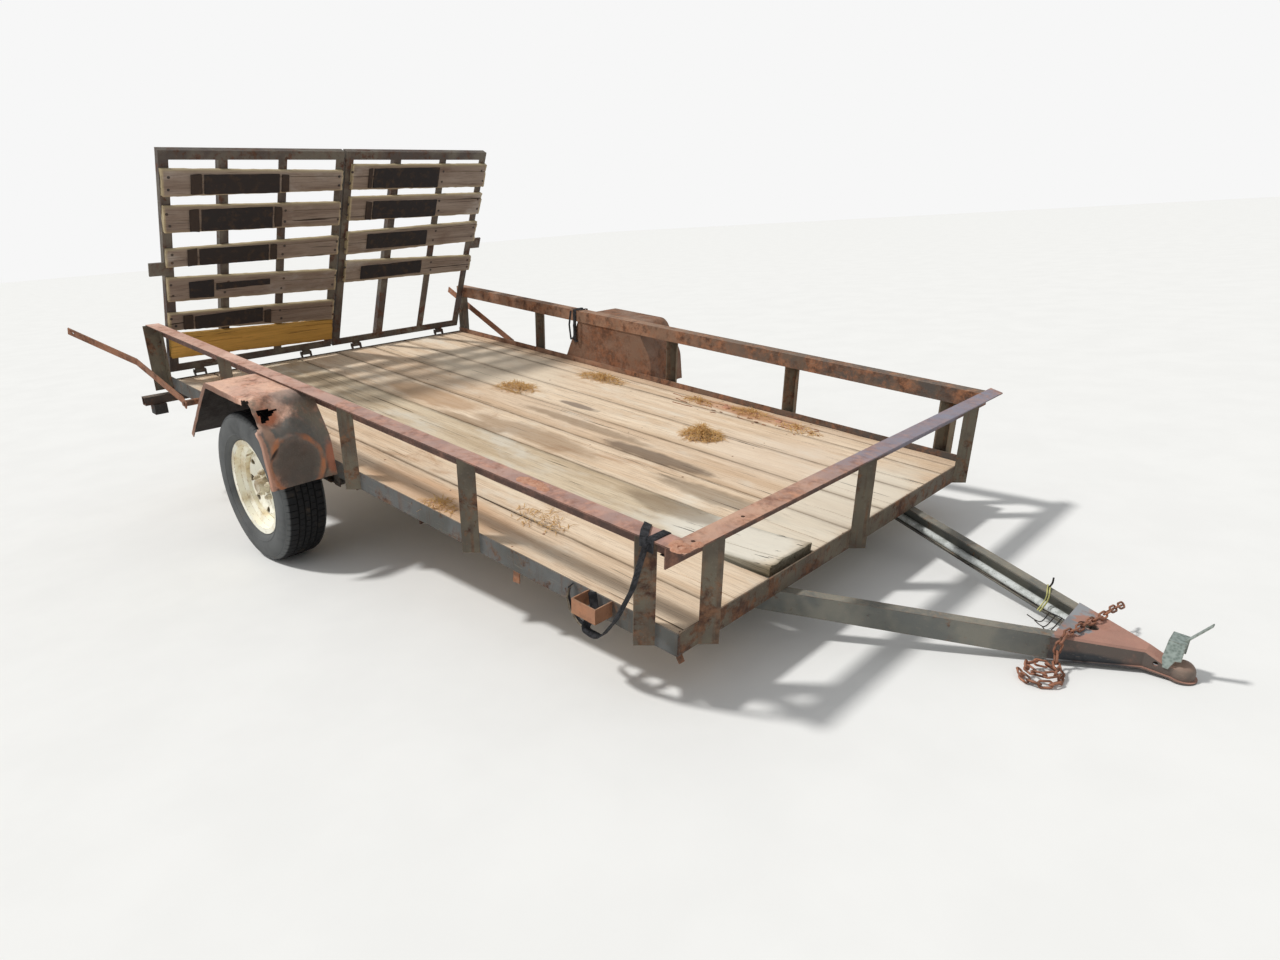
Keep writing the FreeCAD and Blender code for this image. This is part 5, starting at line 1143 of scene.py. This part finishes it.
@dataclass(frozen=True)
class WheelTrim:
    """Hex nuts over the studs and a valve on each wheel."""

    nuts: int = 5
    first: float = 18.0
    stud_circle: float = 0.05715
    nut: tuple[Pair, ...] = (
        (0.0128, 0.0243), (0.0121, 0.0273), (0.0121, 0.0385), (0.0102, 0.0415),
        (0.0064, 0.0415), (0.0062, 0.0490), (0.0040, 0.0500),
    )
    rounded: float = 0.0105
    sides: int = 12
    flat: float = 0.94
    valve_circle: float = 0.150
    valve_angle: float = math.radians(54)
    valve_length: float = 0.034
    valve: tuple[Pair, ...] = ((0.3, 0.0062), (0.6, 0.0036), (2.0, 0.0042))

    def build(self, side: str) -> None:
        """Make the nuts and the valve of one wheel."""
        draft = MeshDraft()
        for index in range(self.nuts):
            angle = math.radians(360 / self.nuts * index + self.first)
            centre = Vector((self.stud_circle * math.cos(angle), 0.0, self.stud_circle * math.sin(angle)))
            rings = []
            for wide, out in self.nut:
                rings.append([])
                for step in range(self.sides):
                    turn = math.tau * step / self.sides + index
                    flat = wide * (1.0 if step % 2 == 0 or wide < self.rounded else self.flat)
                    rings[-1].append(centre + Vector((math.cos(turn) * flat, out, math.sin(turn) * flat)))
            draft.rings(rings)
        out = Vector((math.cos(self.valve_angle), 0.0, math.sin(self.valve_angle)))
        base = out * self.valve_circle + Vector((0.0, 0.018, 0.0))
        tip = base + Vector((0.0, self.valve_length, 0.0)) - out * 0.006
        path = [base.lerp(tip, step / 6) for step in range(7)]
        draft.rod(path, lambda share: next(wide for end, wide in self.valve if share < end), 10)
        matrix = STANDING.wheel(SIDES[side])
        draft.piece(f"wheel_nuts_{side}", HUB_PAINT, "hub_paint", 35.0, f"wheel_{side}", matrix)


@dataclass(frozen=True)
class DeckLitter:
    """Dry grass on the deck, in clumps: ahead, left, half length, half width, height and number of blades."""

    surface: float = -0.0265
    blade_length: Pair = (0.02, 0.055)
    blade_width: Pair = (0.0008, 0.0016)
    blade_thick: float = 0.0005
    clumps: tuple[tuple[float, float, float, float, float, int], ...] = (
        (1.44, 0.318, 0.13, 0.09, 0.026, 420), (1.626, 0.79, 0.17, 0.07, 0.024, 420),
        (2.668, 0.424, 0.10, 0.085, 0.055, 700), (2.30, 0.845, 0.10, 0.04, 0.014, 120),
        (2.62, 0.87, 0.14, 0.05, 0.020, 180), (2.93, 0.83, 0.12, 0.05, 0.012, 120),
        (2.48, -0.895, 0.09, 0.05, 0.012, 110), (2.84, -0.72, 0.15, 0.07, 0.010, 90),
    )

    def build(self) -> None:
        """Make the blades."""
        draft = MeshDraft()
        rng = random.Random(5)
        thick = Vector((0, 0, self.blade_thick))
        for ahead, left, long, broad, high, blades in self.clumps:
            for _ in range(blades):
                turn = rng.uniform(0, math.tau)
                away = rng.random() ** 0.7
                base = Vector((
                    ahead + long * away * math.cos(turn), left + broad * away * math.sin(turn), self.surface
                ))
                heading = Vector((rng.uniform(-1, 1), rng.uniform(-1, 1), rng.uniform(0.0, 0.9) * (1 - away)))
                heading.normalize()
                length = rng.uniform(*self.blade_length)
                base.z += high * (1 - away) * rng.random()
                middle = base + heading * length * 0.5 + Vector((0, 0, 0.003))
                tip = base + heading * length
                tip.z = max(self.surface + 0.0006, tip.z - length * 0.25)
                wide = Vector((-heading.y, heading.x, 0.2)).normalized() * rng.uniform(*self.blade_width)
                rings = [
                    [base + wide, base + thick, base - wide],
                    [middle + wide, middle + thick * 2, middle - wide],
                    [tip + wide * 0.3, tip + thick, tip - wide * 0.3],
                ]
                draft.rings(rings, tint=rng.random())
        draft.piece("dry_grass", STRAW, "deck_wood", 60)


def arc_line(corners: Sequence[tuple[float, float, float]], step: float) -> list[tuple[Vector, Vector]]:
    """Even places along a line with rounded corners, each with the direction out of its bends.

    Args:
        corners: Ahead, up and radius of each corner in turn.
        step: Distance between places.

    Returns:
        Places and their outward directions, both in the plane ahead and up.
    """
    points = [Vector((ahead, 0.0, up)) for ahead, up, _ in corners]
    line = [points[0]]
    for index in range(1, len(points) - 1):
        into = (points[index] - points[index - 1]).normalized()
        out = (points[index + 1] - points[index]).normalized()
        half_turn = into.angle(out) / 2
        radius = corners[index][2]
        centre = points[index] + (out - into).normalized() * (radius / math.cos(half_turn))
        first = points[index] - into * (radius * math.tan(half_turn)) - centre
        last = points[index] + out * (radius * math.tan(half_turn)) - centre
        line += [centre + first.slerp(last, share / 10).normalized() * radius for share in range(11)]
    line.append(points[-1])
    lengths = [0.0]
    for before, after in zip(line, line[1:]):
        lengths.append(lengths[-1] + (after - before).length)
    count = round(lengths[-1] / step)
    places = []
    spot = 0
    for index in range(count + 1):
        gone = min(lengths[-1] * index / count, lengths[-1] - 1e-6)
        while lengths[spot + 1] <= gone:
            spot += 1
        along = (line[spot + 1] - line[spot]).normalized()
        places.append((line[spot] + along * (gone - lengths[spot]), Vector((-along.z, 0.0, along.x))))
    return places


@dataclass(frozen=True)
class Dent:
    """A push or a bulge in a sheet: its middle as ahead, out and up, its reach and its height."""

    middle: Triple
    reach: float
    height: float

    def share(self, here: Vector) -> float:
        """How much of it is felt at a place."""
        return math.exp(-(((here - Vector(self.middle)).length / self.reach) ** 2))


@dataclass(frozen=True)
class NearFender:
    """The near fender's sheet, buckled and torn beside the wheel, with its folded lip and its side plate."""

    frame_side: float = -0.9725
    width: float = 0.270
    bend: float = 0.004
    lip: float = 0.024
    wall: float = 0.003
    step: float = 0.0075
    line: tuple[Triple, ...] = (
        (1.05, -0.012, 0.0), (1.31, 0.278, 0.05), (1.712, 0.278, 0.07), (1.835, 0.1, 0.12),
        (1.855, -0.059, 0.0),
    )
    tear: tuple[Pair, ...] = ((1.737, 0.243), (1.741, 0.151), (1.770, 0.234))
    torn: tuple[Pair, ...] = ((1.684, 0.0), (1.700, 0.014), (1.740, 0.009), (1.775, 0.008), (1.786, 0.0))
    dents: tuple[Dent, ...] = (
        Dent((1.765, 0.205, 0.205), 0.05, -0.016), Dent((1.705, 0.215, 0.278), 0.03, 0.007),
        Dent((1.722, 0.15, 0.262), 0.03, -0.006), Dent((1.79, 0.135, 0.175), 0.036, 0.009),
        Dent((1.805, 0.235, 0.13), 0.035, 0.008), Dent((1.848, 0.1525, 0.02), 0.07, -0.005),
        Dent((1.838, 0.25, 0.06), 0.045, -0.006), Dent((1.3, 0.24, 0.268), 0.05, -0.004),
        Dent((1.855, 0.06, -0.04), 0.05, -0.005),
    )
    folds: tuple[Pair, ...] = (
        (0.2688, 0.0012), (0.270, 0.004), (0.270, 0.011), (0.270, 0.018), (0.270, 0.024),
    )
    torn_above: float = 0.12
    tear_above: float = 0.15
    ripple: Pair = (0.0010, 0.0016)
    splay: float = 0.010
    splay_from: float = 0.2
    ring: Dent = Dent((1.848, 0.1525, 0.020), 0.114, 0.0045)
    ring_wide: float = 0.008
    crumple: Dent = Dent((1.755, 0.21, 0.22), 0.09, 0.0055)

    def shaped(self, spot: Vector, out: float, way: Vector) -> Vector:
        """Where the sheet has gone: `spot` on the line, `out` from the frame, `way` out of the sheet."""
        here = Vector((spot.x, out, spot.z))
        push = 0.0
        for dent in self.dents:
            push += dent.height * dent.share(here)
        away = (here - Vector(self.ring.middle)).length
        push += self.ring.height * math.exp(-(((away - self.ring.reach) / self.ring_wide) ** 2))
        near_tear = self.crumple.share(here)
        fine, broad = self.ripple
        push += (fine + self.crumple.height * near_tear) * wobble(here, 32, 3) + broad * wobble(here, 9, 1)
        moved = Vector((spot.x, self.frame_side - out, spot.z)) + way * push
        if out > self.splay_from:
            moved.y += self.splay * near_tear * (0.5 + 0.5 * wobble(here, 40, 8))
        return moved

    def lost(self, spot: Vector, out: float) -> bool:
        """Whether the sheet is gone at a place."""
        if spot.z > self.torn_above:
            for (ahead, deep), (after, deeper) in zip(self.torn, self.torn[1:]):
                if ahead <= spot.x < after:
                    reach = deep + (deeper - deep) * (spot.x - ahead) / (after - ahead)
                    if out > self.width - reach - 0.003:
                        return True
        signs = []
        for index, (ahead, left) in enumerate(self.tear):
            after, deeper = self.tear[(index + 1) % 3]
            signs.append((after - ahead) * (out - left) - (deeper - left) * (spot.x - ahead) > 0)
        return spot.z > self.tear_above and len(set(signs)) == 1

    def grid(self, places: Sequence[tuple[Vector, Vector]], across: Sequence[float]) -> list[list[Vector]]:
        """The sheet's outer and inner points, row after row."""
        over, under = [], []
        for spot, way in places:
            for out in across:
                over.append(self.shaped(spot, out, way))
                under.append(over[-1] - way * self.wall)
            for out, down in self.folds:
                point = self.shaped(spot, out, way) - way * down
                point.y += 0.0015 * wobble(point, 22, 4) * (down / self.lip)
                over.append(point)
                under.append(point + Vector((0.0, self.wall, 0.0)) - way * (self.wall * (down < self.wall)))
        return [over, under]

    def build(self) -> None:
        """Make the sheet, its lip and its plate as one piece."""
        places = arc_line(self.line, self.step)
        flat = self.width - self.bend
        count = round(flat / self.step)
        across = [flat * index / count for index in range(count + 1)]
        over, under = self.grid(places, across)
        columns = len(over) // len(places)
        kept = set()
        for row in range(len(places) - 1):
            for column in range(columns - 1):
                out = across[column] + self.step / 2 if column < len(across) - 1 else self.width
                if not self.lost((places[row][0] + places[row + 1][0]) / 2, out):
                    kept.add((row, column))
        faces: list[list[int]] = []
        for row, column in sorted(kept):
            first = row * columns + column
            corners = [first, first + 1, first + columns + 1, first + columns]
            faces += [corners, [len(over) + corner for corner in reversed(corners)]]
            beside = [(row - 1, column), (row, column + 1), (row + 1, column), (row, column - 1)]
            for index, cell in enumerate(beside):
                if cell not in kept:
                    start, end = corners[index], corners[(index + 1) % 4]
                    faces.append([start, len(over) + start, len(over) + end, end])
        used = sorted({corner for face in faces for corner in face})
        place = {corner: index for index, corner in enumerate(used)}
        draft = MeshDraft()
        both = over + under
        draft.add([both[corner] for corner in used], [[place[corner] for corner in face] for face in faces])
        rings = []
        for left in (self.frame_side, self.frame_side - self.wall):
            rings.append([Vector((spot.x, left, spot.z)) - way * 0.0005 for spot, way in places])
        draft.rings(rings)
        draft.piece("near_fender_sheet", NEAR_FENDER_STEEL, "rust", 50, replaced="fender_near")


@dataclass(frozen=True)
class Crust:
    """A swollen patch of rust or a clod: its middle, half sizes and height, and whether it has a hole."""

    middle: Triple
    ahead: float
    left: float
    high: float
    holed: bool = False


@dataclass(frozen=True)
class RustCrusts:
    """Swollen and flaking rust on top of the rails, and clods of soil on the deck."""

    crusts: tuple[Crust, ...] = (
        Crust((3.115, -1.0, 0.289), 0.034, 0.024, 0.004), Crust((3.165, -0.996, 0.289), 0.04, 0.022, 0.005),
        Crust((3.205, -1.006, 0.289), 0.026, 0.018, 0.003),
        Crust((3.742, -1.012, 0.289), 0.03, 0.03, 0.006, True),
        Crust((3.716, -1.002, 0.289), 0.016, 0.026, 0.003),
        Crust((3.758, -0.968, 0.289), 0.016, 0.02, 0.003), Crust((2.48, 0.864, -0.0285), 0.03, 0.018, 0.02),
        Crust((2.8, 0.862, -0.0285), 0.022, 0.014, 0.014), Crust((2.64, 0.875, -0.0285), 0.06, 0.012, 0.01),
        Crust((2.925, 0.85, -0.0285), 0.026, 0.016, 0.01),
    )
    steps: int = 8
    spokes: int = 26
    inward: Pair = (0.97, 0.74)

    def build(self) -> None:
        """Make the patches."""
        draft = MeshDraft()
        for seed, crust in enumerate(self.crusts):
            rings = []
            for step in range(self.steps + 1):
                share = 1.0 - step / self.steps * self.inward[crust.holed]
                rings.append([])
                for turn in (math.tau * spoke / self.spokes for spoke in range(self.spokes)):
                    x, y = math.cos(turn), math.sin(turn)
                    ragged = 1.0 + 0.22 * noise.noise(Vector((x * 2, y * 2, seed * 5.0)))
                    x, y = crust.ahead * share * ragged * x, crust.left * share * ragged * y
                    rough = 0.65 + 0.6 * noise.noise(Vector((x * 120, y * 120, seed * 3.0)))
                    z = crust.high * (1 - share**4) * rough if step else -0.001
                    if crust.holed and step == self.steps:
                        z = -0.002
                    rings[-1].append(Vector(crust.middle) + Vector((x, y, z)))
            draft.rings(rings)
        draft.piece("rail_rust_crusts", CRUST, "rust", 30)


def ribbon(draft: MeshDraft, path: Sequence[Triple], side: Triple, wide: float, thick: float) -> None:
    """A flat band along a path, its width along `side`, slightly rippled at its edges."""
    points = [Vector(point) for point in path]
    line = []
    for before, after in zip(points, points[1:]):
        line += [before.lerp(after, step / 6) for step in range(6)]
    line.append(points[-1])
    rings = []
    for index, point in enumerate(line):
        along = (line[min(index + 1, len(line) - 1)] - line[max(index - 1, 0)]).normalized()
        across = (Vector(side) - along * along.dot(Vector(side))).normalized()
        out = along.cross(across) * (thick / 2)
        half = across * (wide / 2 * (1 + 0.08 * wobble(point, 60)))
        rings.append([point - half - out, point + half - out, point + half + out, point - half + out])
    draft.rings(rings)


@dataclass(frozen=True)
class StrapEnds:
    """The strap's second turn over the near rail, its frayed end by the guard, and the far rail's loops."""

    second_turn: tuple[Triple, ...] = (
        (3.632, -1.036, 0.262), (3.632, -1.036, 0.2895), (3.632, -1.032, 0.2935), (3.610, -1.003, 0.2935),
        (3.588, -0.9675, 0.2925), (3.588, -0.9645, 0.262),
    )
    loose_end: tuple[Triple, ...] = (
        (3.300, -0.9765, 0.000), (3.292, -0.986, -0.010), (3.286, -0.988, -0.040), (3.300, -0.990, -0.078),
        (3.338, -0.992, -0.106), (3.386, -0.996, -0.118), (3.430, -1.000, -0.112),
    )
    far_loop: tuple[Triple, ...] = (
        (0.0, 0.962, 0.296), (0.004, 1.000, 0.2925), (0.008, 1.042, 0.294), (0.010, 1.046, 0.230),
        (0.0, 1.010, 0.150), (-0.004, 0.955, 0.120), (-0.006, 0.944, 0.200), (0.0, 0.952, 0.285),
    )
    far_loops: tuple[Pair, ...] = ((1.196, 0.012), (1.236, 0.024))
    slack_below: float = 0.16
    turn_band: Pair = (0.024, 0.002)
    frayed_band: Pair = (0.012, 0.0016)
    thread_band: Pair = (0.006, 0.0016)
    loop_band: Pair = (0.014, 0.0018)

    def build(self) -> None:
        """Make the bands and the threads."""
        dark, pale = MeshDraft(), MeshDraft()
        ribbon(dark, self.second_turn, (1.0, 0.0, 0.0), *self.turn_band)
        ribbon(dark, self.loose_end, (0.0, 1.0, 0.0), *self.frayed_band)
        threads = [(x + 0.005, y - 0.009, z - 0.003) for x, y, z in self.loose_end]
        ribbon(pale, threads, (0.4, 1.0, 0.6), *self.thread_band)
        for ahead, slack in self.far_loops:
            loop = [(ahead + x, y, z - slack if z < self.slack_below else z) for x, y, z in self.far_loop]
            ribbon(dark, loop, (1.0, 0.0, 0.0), *self.loop_band)
        dark.piece("strap_turns", WEBBING, "webbing", 60)
        pale.piece("strap_threads", PALE_WEBBING, "webbing", 60)


@dataclass(frozen=True)
class Tabs:
    """Small rusty tabs bent down under the frame: each one's path, the way of its width, and its width."""

    tabs: tuple[tuple[tuple[Triple, ...], Triple, float], ...] = (
        (((3.000, -0.956, -0.066), (3.000, -0.957, -0.096), (3.003, -0.962, -0.122)), (1.0, 0.0, 0.0), 0.032),
        (((3.700, -0.950, -0.066), (3.702, -0.952, -0.084), (3.713, -0.953, -0.098)), (0.0, 1.0, 0.0), 0.022),
    )

    def build(self) -> None:
        """Make the tabs."""
        draft = MeshDraft()
        for path, side, wide in self.tabs:
            ribbon(draft, path, side, wide, 0.004)
        draft.piece("frame_tabs", RUSTY_BAR, "rust", 40)


@dataclass(frozen=True)
class Twigs:
    """Bits of twig and bark along the far side of the deck, between two places ahead and two to the left."""

    surface: float = -0.0265
    count: int = 34
    ahead: Pair = (2.15, 3.05)
    left: Pair = (0.74, 0.905)
    short: Pair = (0.012, 0.05)
    long: Pair = (0.1, 0.16)
    long_every: int = 7
    wide: Pair = (0.0009, 0.0022)
    turned: Pair = (-0.9, 0.9)

    def build(self) -> None:
        """Make the twigs."""
        rng = random.Random(12)
        draft = MeshDraft()
        for index in range(self.count):
            long = rng.uniform(*(self.short if index % self.long_every else self.long))
            wide = rng.uniform(*self.wide)
            turn = rng.uniform(*self.turned)
            place = Vector((rng.uniform(*self.ahead), rng.uniform(*self.left), self.surface + wide))
            path = []
            for step in range(6):
                gone = long * (step / 5 - 0.5)
                bend = long * 0.08 * wobble(place, 90, step * 0.4)
                x, y = gone * math.cos(turn) - bend, gone * math.sin(turn) * 0.3 + bend
                path.append(place + Vector((x, y, 0.0)))
            draft.rod(path, wide, 6, tint=rng.random())
        draft.piece("deck_twigs", BARK, "deck_wood", 60)


def smoothed(path: Sequence[Triple], steps: int = 6) -> list[Vector]:
    """A path's points with rounded turns between them."""
    points = [Vector(point) for point in path]
    line = []
    for index in range(len(points) - 1):
        before, start = points[max(index - 1, 0)], points[index]
        end, after = points[index + 1], points[min(index + 2, len(points) - 1)]
        for step in range(steps):
            share = step / steps
            line.append(0.5 * (
                2 * start
                + (end - before) * share
                + (2 * before - 5 * start + 4 * end - after) * share**2
                + (3 * start - before - 3 * end + after) * share**3
            ))
    line.append(points[-1])
    return line


@dataclass(frozen=True)
class TieWires:
    """Wire twisted round the far tongue channel and the conduit, and a thin lead beside the conduit."""

    wrap: tuple[Triple, ...] = (
        (4.310, 0.188, -0.100), (4.314, 0.186, -0.078), (4.320, 0.172, -0.067), (4.328, 0.140, -0.067),
        (4.333, 0.128, -0.078), (4.332, 0.124, -0.098), (4.326, 0.116, -0.118), (4.320, 0.108, -0.134),
    )
    twist: tuple[Triple, ...] = ((4.318, 0.160, -0.068), (4.326, 0.160, -0.050), (4.326, 0.162, -0.030))
    lead: tuple[Triple, ...] = (
        (3.74, 0.402, -0.128), (3.95, 0.300, -0.136), (4.15, 0.203, -0.130), (4.32, 0.122, -0.128),
        (4.39, 0.090, -0.120), (4.43, 0.070, -0.128),
    )
    strands: int = 5
    thick: float = 0.003
    middling: float = 0.0026
    thin: float = 0.0022
    finest: float = 0.0018

    def build(self) -> None:
        """Make the wires."""
        yellow, dark = MeshDraft(), MeshDraft()
        yellow.rod(smoothed(self.wrap), self.middling)
        yellow.rod(smoothed([(x - 0.008, y + 0.002, z) for x, y, z in self.wrap]), self.thin)
        dark.rod(smoothed(self.twist), self.thick)
        dark.rod(smoothed(self.lead), self.thin, 6)
        for start in (0.02 * strand for strand in range(self.strands)):
            bent = (4.34 + start, 0.06 - start, -0.142)
            strand = [(4.35 + start, 0.10, -0.124), bent, (4.30 + start * 1.5, 0.05 - start, -0.128)]
            dark.rod(smoothed(strand), self.finest, 6)
        yellow.piece("tie_wire", TIE_WIRE, "rust", 60)
        dark.piece("loose_wires", DARK_WIRE, "rust", 60)


@dataclass(frozen=True)
class ChainLinks:
    """Round-wire links of the safety chain along its route to the heap on the floor."""

    rear: float = 4.422
    plate: float = -0.066
    route: tuple[Triple, ...] = (
        (0.102, 0.205, 0.002), (0.09, 0.122, 0.016), (0.078, 0.06, 0.011), (0.062, 0.01, 0.011),
        (0.048, -0.06, 0.011), (0.036, -0.106, 0.015), (0.031, -0.132, 0.013), (0.028, -0.148, -0.01),
        (0.027, -0.155, -0.034), (0.03, -0.166, -0.052),
    )
    heap_ahead: float = 0.018
    heap_left: float = -0.222
    radius: float = 0.037
    pitch_out: float = 0.014
    turns: float = 1.6
    start: float = 30.0
    lift: float = 0.022
    fall: Pair = (0.55, 1.0)
    clearance: float = 0.002
    wire: float = 0.006
    length: float = 0.044
    width: float = 0.024
    pitch: float = 0.0306
    tilt: float = math.radians(45)
    swell: float = 0.0003
    steps: int = 20
    sides: int = 10
    heap_steps: int = 48
    halvings: int = 30

    def points(self) -> list[Vector]:
        """The route's points, the heap's included."""
        points = [Vector((self.rear + ahead, left, self.plate + up)) for ahead, left, up in self.route]
        half = (self.width + self.wire) / 2 * math.sqrt(0.5)
        for step in range(self.heap_steps + 1):
            turns = step / self.heap_steps * self.turns
            angle = math.radians(self.start) - turns * math.tau
            radius = self.radius + self.pitch_out * turns
            ahead = self.rear + self.heap_ahead + radius * math.cos(angle)
            fall = (turns - self.fall[0]) / (self.fall[1] - self.fall[0])
            floor = -(REST[2][0] * ahead + REST[2][3]) / REST[2][2]
            up = floor + half + self.clearance + self.lift * (1 - min(max(fall, 0), 1))
            points.append(Vector((ahead, self.heap_left + radius * math.sin(angle), up)))
        return points

    def spots(self) -> list[Vector]:
        """Places along the route, each one pitch from the one before."""
        points = self.points()
        spots = [points[0]]
        index = 1
        while index < len(points):
            if (points[index] - spots[-1]).length < self.pitch:
                index += 1
                continue
            before, step = points[index - 1], points[index] - points[index - 1]
            low, high = 0.0, 1.0
            for _ in range(self.halvings):
                middle = (low + high) / 2
                if (before + step * middle - spots[-1]).length < self.pitch:
                    low = middle
                else:
                    high = middle
            spots.append(before + step * high)
            points[index - 1] = spots[-1]
        return spots

    def build(self) -> None:
        """Make the links."""
        spots = self.spots()
        draft = MeshDraft()
        up = Vector((0.0, 0.0, 1.0))
        for count, (first, last) in enumerate(zip(spots, spots[1:])):
            along = (last - first).normalized()
            up = (up - along * up.dot(along)).normalized()
            level = Matrix.Rotation(self.tilt if count % 2 else -self.tilt, 3, along) @ up
            self.link(draft, (first + last) / 2, along, level)
        draft.piece("chain_links", CHAIN_RUST, "rust", 60, replaced="safety_chain")

    def link(self, draft: MeshDraft, middle: Vector, along: Vector, level: Vector) -> None:
        """One link, long way along the route and flat across `level`."""
        side = level.cross(along)
        half, bend = (self.length - self.width) / 2, (self.width - self.wire) / 2
        rings = []
        for step in range(self.steps):
            turn = math.tau * (step + 0.5) / self.steps
            out = along * math.cos(turn) + side * math.sin(turn)
            centre = middle + along * math.copysign(half, math.cos(turn)) + out * bend
            rings.append(circle(centre, out, level, self.wire / 2 + self.swell, self.sides))
        draft.rings(rings, closed=True)


@dataclass(frozen=True)
class WeldBeads:
    """Rough upright weld beads where the posts and the corners meet the frame."""

    half: float = 0.9725
    front: float = 3.710
    leg: float = 0.060
    side_posts: tuple[float, ...] = (0.878, 2.000, 2.783, 3.585)
    front_posts: tuple[float, ...] = (-0.840, 0.0, 0.862)
    low: float = -0.068
    high: float = -0.004
    count: int = 16
    radius: float = 0.003

    def places(self) -> list[Pair]:
        """Every bead's place ahead and to the left."""
        legs = (-self.leg / 2, self.leg / 2)
        made = []
        for side in (NEAR, FAR):
            made += [(ahead + leg, side * (self.half + 0.002)) for ahead in self.side_posts for leg in legs]
        made += [(self.front + 0.002, left + leg) for left in self.front_posts for leg in legs]
        return made + [(self.front + 0.001, side * (self.half - 0.004)) for side in (NEAR, FAR)]

    def wide(self, share: float) -> float:
        """A bead's rippled radius at a share of its length."""
        ripple = 1 + 0.22 * math.sin(share * self.count * 2.1)
        return self.radius * ripple * (0.45 if share in (0.0, 1.0) else 1.0)

    def build(self) -> None:
        """Make the beads."""
        draft = MeshDraft()
        for index, (ahead, left) in enumerate(self.places()):
            start, end = Vector((ahead, left, self.low)), Vector((ahead, left, self.high))
            path = []
            for step in range(self.count + 1):
                point = start.lerp(end, step / self.count)
                drift = wobble(point, 70, index) * self.radius / 2
                path.append(point + Vector((drift, drift * 0.5, 0)))
            draft.rod(path, self.wide)
        draft.piece("weld_beads", REAR_STEEL, "frame_steel", 60)


@dataclass(frozen=True)
class StudioStage:
    """Plain pale floor, even light from the sky and one soft lamp from behind on the near side."""

    floor_half: float = 60.0
    sky: float = 0.50
    seen: float = 0.93
    lamp: float = 2.35
    lamp_angle: float = math.radians(6)
    lamp_from: Triple = (-0.42, -0.36, 0.83)

    def build(self) -> None:
        """Make the floor, the sky and the lamp."""
        self.floor()
        self.world()
        light = bpy.data.lights.new("soft lamp", "SUN")
        light.energy = self.lamp
        light.angle = self.lamp_angle
        light.color = (1.0, 0.985, 0.96)
        turned = Vector(self.lamp_from).to_track_quat("Z", "Y").to_euler()
        put("soft_lamp", light).rotation_euler = turned

    def floor(self) -> None:
        """Make the floor."""
        half = self.floor_half
        mesh = bpy.data.meshes.new("floor")
        corners = [(-half, -half, 0), (half, -half, 0), (half, half, 0), (-half, half, 0)]
        mesh.from_pydata(corners, [], [(0, 1, 2, 3)])
        sheet = Shading("pale floor", Lean.FLOOR)
        colour = sheet.layered("e9e9e7", ("ececea", sheet.grain(2.5, detail=3), 0.3, 0.7))
        mesh.materials.append(sheet.finish(colour, 0.9, 0.1))
        put("floor", mesh)

    def world(self) -> None:
        """Light the sky evenly, and show it pale."""
        world = bpy.data.worlds.new("sky")
        world.use_nodes = True
        graph = Graph(world.node_tree)
        lit = graph.node("Background", {"Color": (0.97, 0.985, 1.0, 1.0), "Strength": self.sky})
        plain = graph.node("Background", {"Color": (1.0, 1.0, 1.0, 1.0), "Strength": self.seen})
        rays = [graph.node("LightPath", out=f"Is {kind} Ray") for kind in ("Camera", "Transmission")]
        seen = graph.node("Math", {0: rays[0], 1: rays[1]}, operation="MAXIMUM")
        mixed = graph.node("MixShader", {0: seen, 1: lit, 2: plain})
        graph.feed(graph.tree.nodes["World Output"].inputs["Surface"], mixed)
        bpy.context.scene.world = world


@dataclass(frozen=True)
class Viewpoint:
    """The camera's place, direction and lens, for a picture of 1280 by 960."""

    place: Triple = (4.917, -2.4535, 1.231)
    turn: float = 0.7418
    down: float = 0.3877
    roll: float = 0.0193
    focal_pixels: float = 821.47
    picture_width: float = 1280.0
    sensor: float = 36.0

    def build(self) -> None:
        """Make the camera and look through it."""
        turned = Matrix.Rotation(self.turn, 4, "Z") @ Matrix.Rotation(math.pi / 2 - self.down, 4, "X")
        data = bpy.data.cameras.new("viewpoint")
        data.sensor_width = self.sensor
        data.lens = self.focal_pixels * self.sensor / self.picture_width
        data.clip_end = 200.0
        item = put("viewpoint", data)
        aimed = REST @ Matrix.Translation(self.place) @ turned
        item.matrix_world = aimed @ Matrix.Rotation(self.roll, 4, "Z")
        bpy.context.scene.camera = item


def dress_solids() -> None:
    """Give every solid that stays in view its finish."""
    for finish, names in NODE_FINISHES.items():
        for name in names.split():
            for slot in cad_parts[name].material_slots:
                slot.material = material_of(finish)
    LOG.info("dressed the solids in %d finishes", len(NODE_FINISHES))


def main() -> None:
    """Build the stage, the camera and every piece in turn."""
    bpy.context.scene.view_settings.view_transform = "Standard"
    Viewpoint().build()
    StudioStage().build()
    dress_solids()
    for part in (DeckBoards(), NEAR_COVER, FAR_COVER, GateBoard()):
        part.build()
    for side in SIDES:
        Tread().build(side)
        WheelTrim().build(side)
    for kind in (NearFender, RustCrusts, StrapEnds, TieWires, Tabs, Twigs, ChainLinks, DeckLitter, WeldBeads):
        kind().build()


if __name__ == "__main__":
    logging.basicConfig(level=logging.INFO, format="%(name)s: %(message)s")
    main()
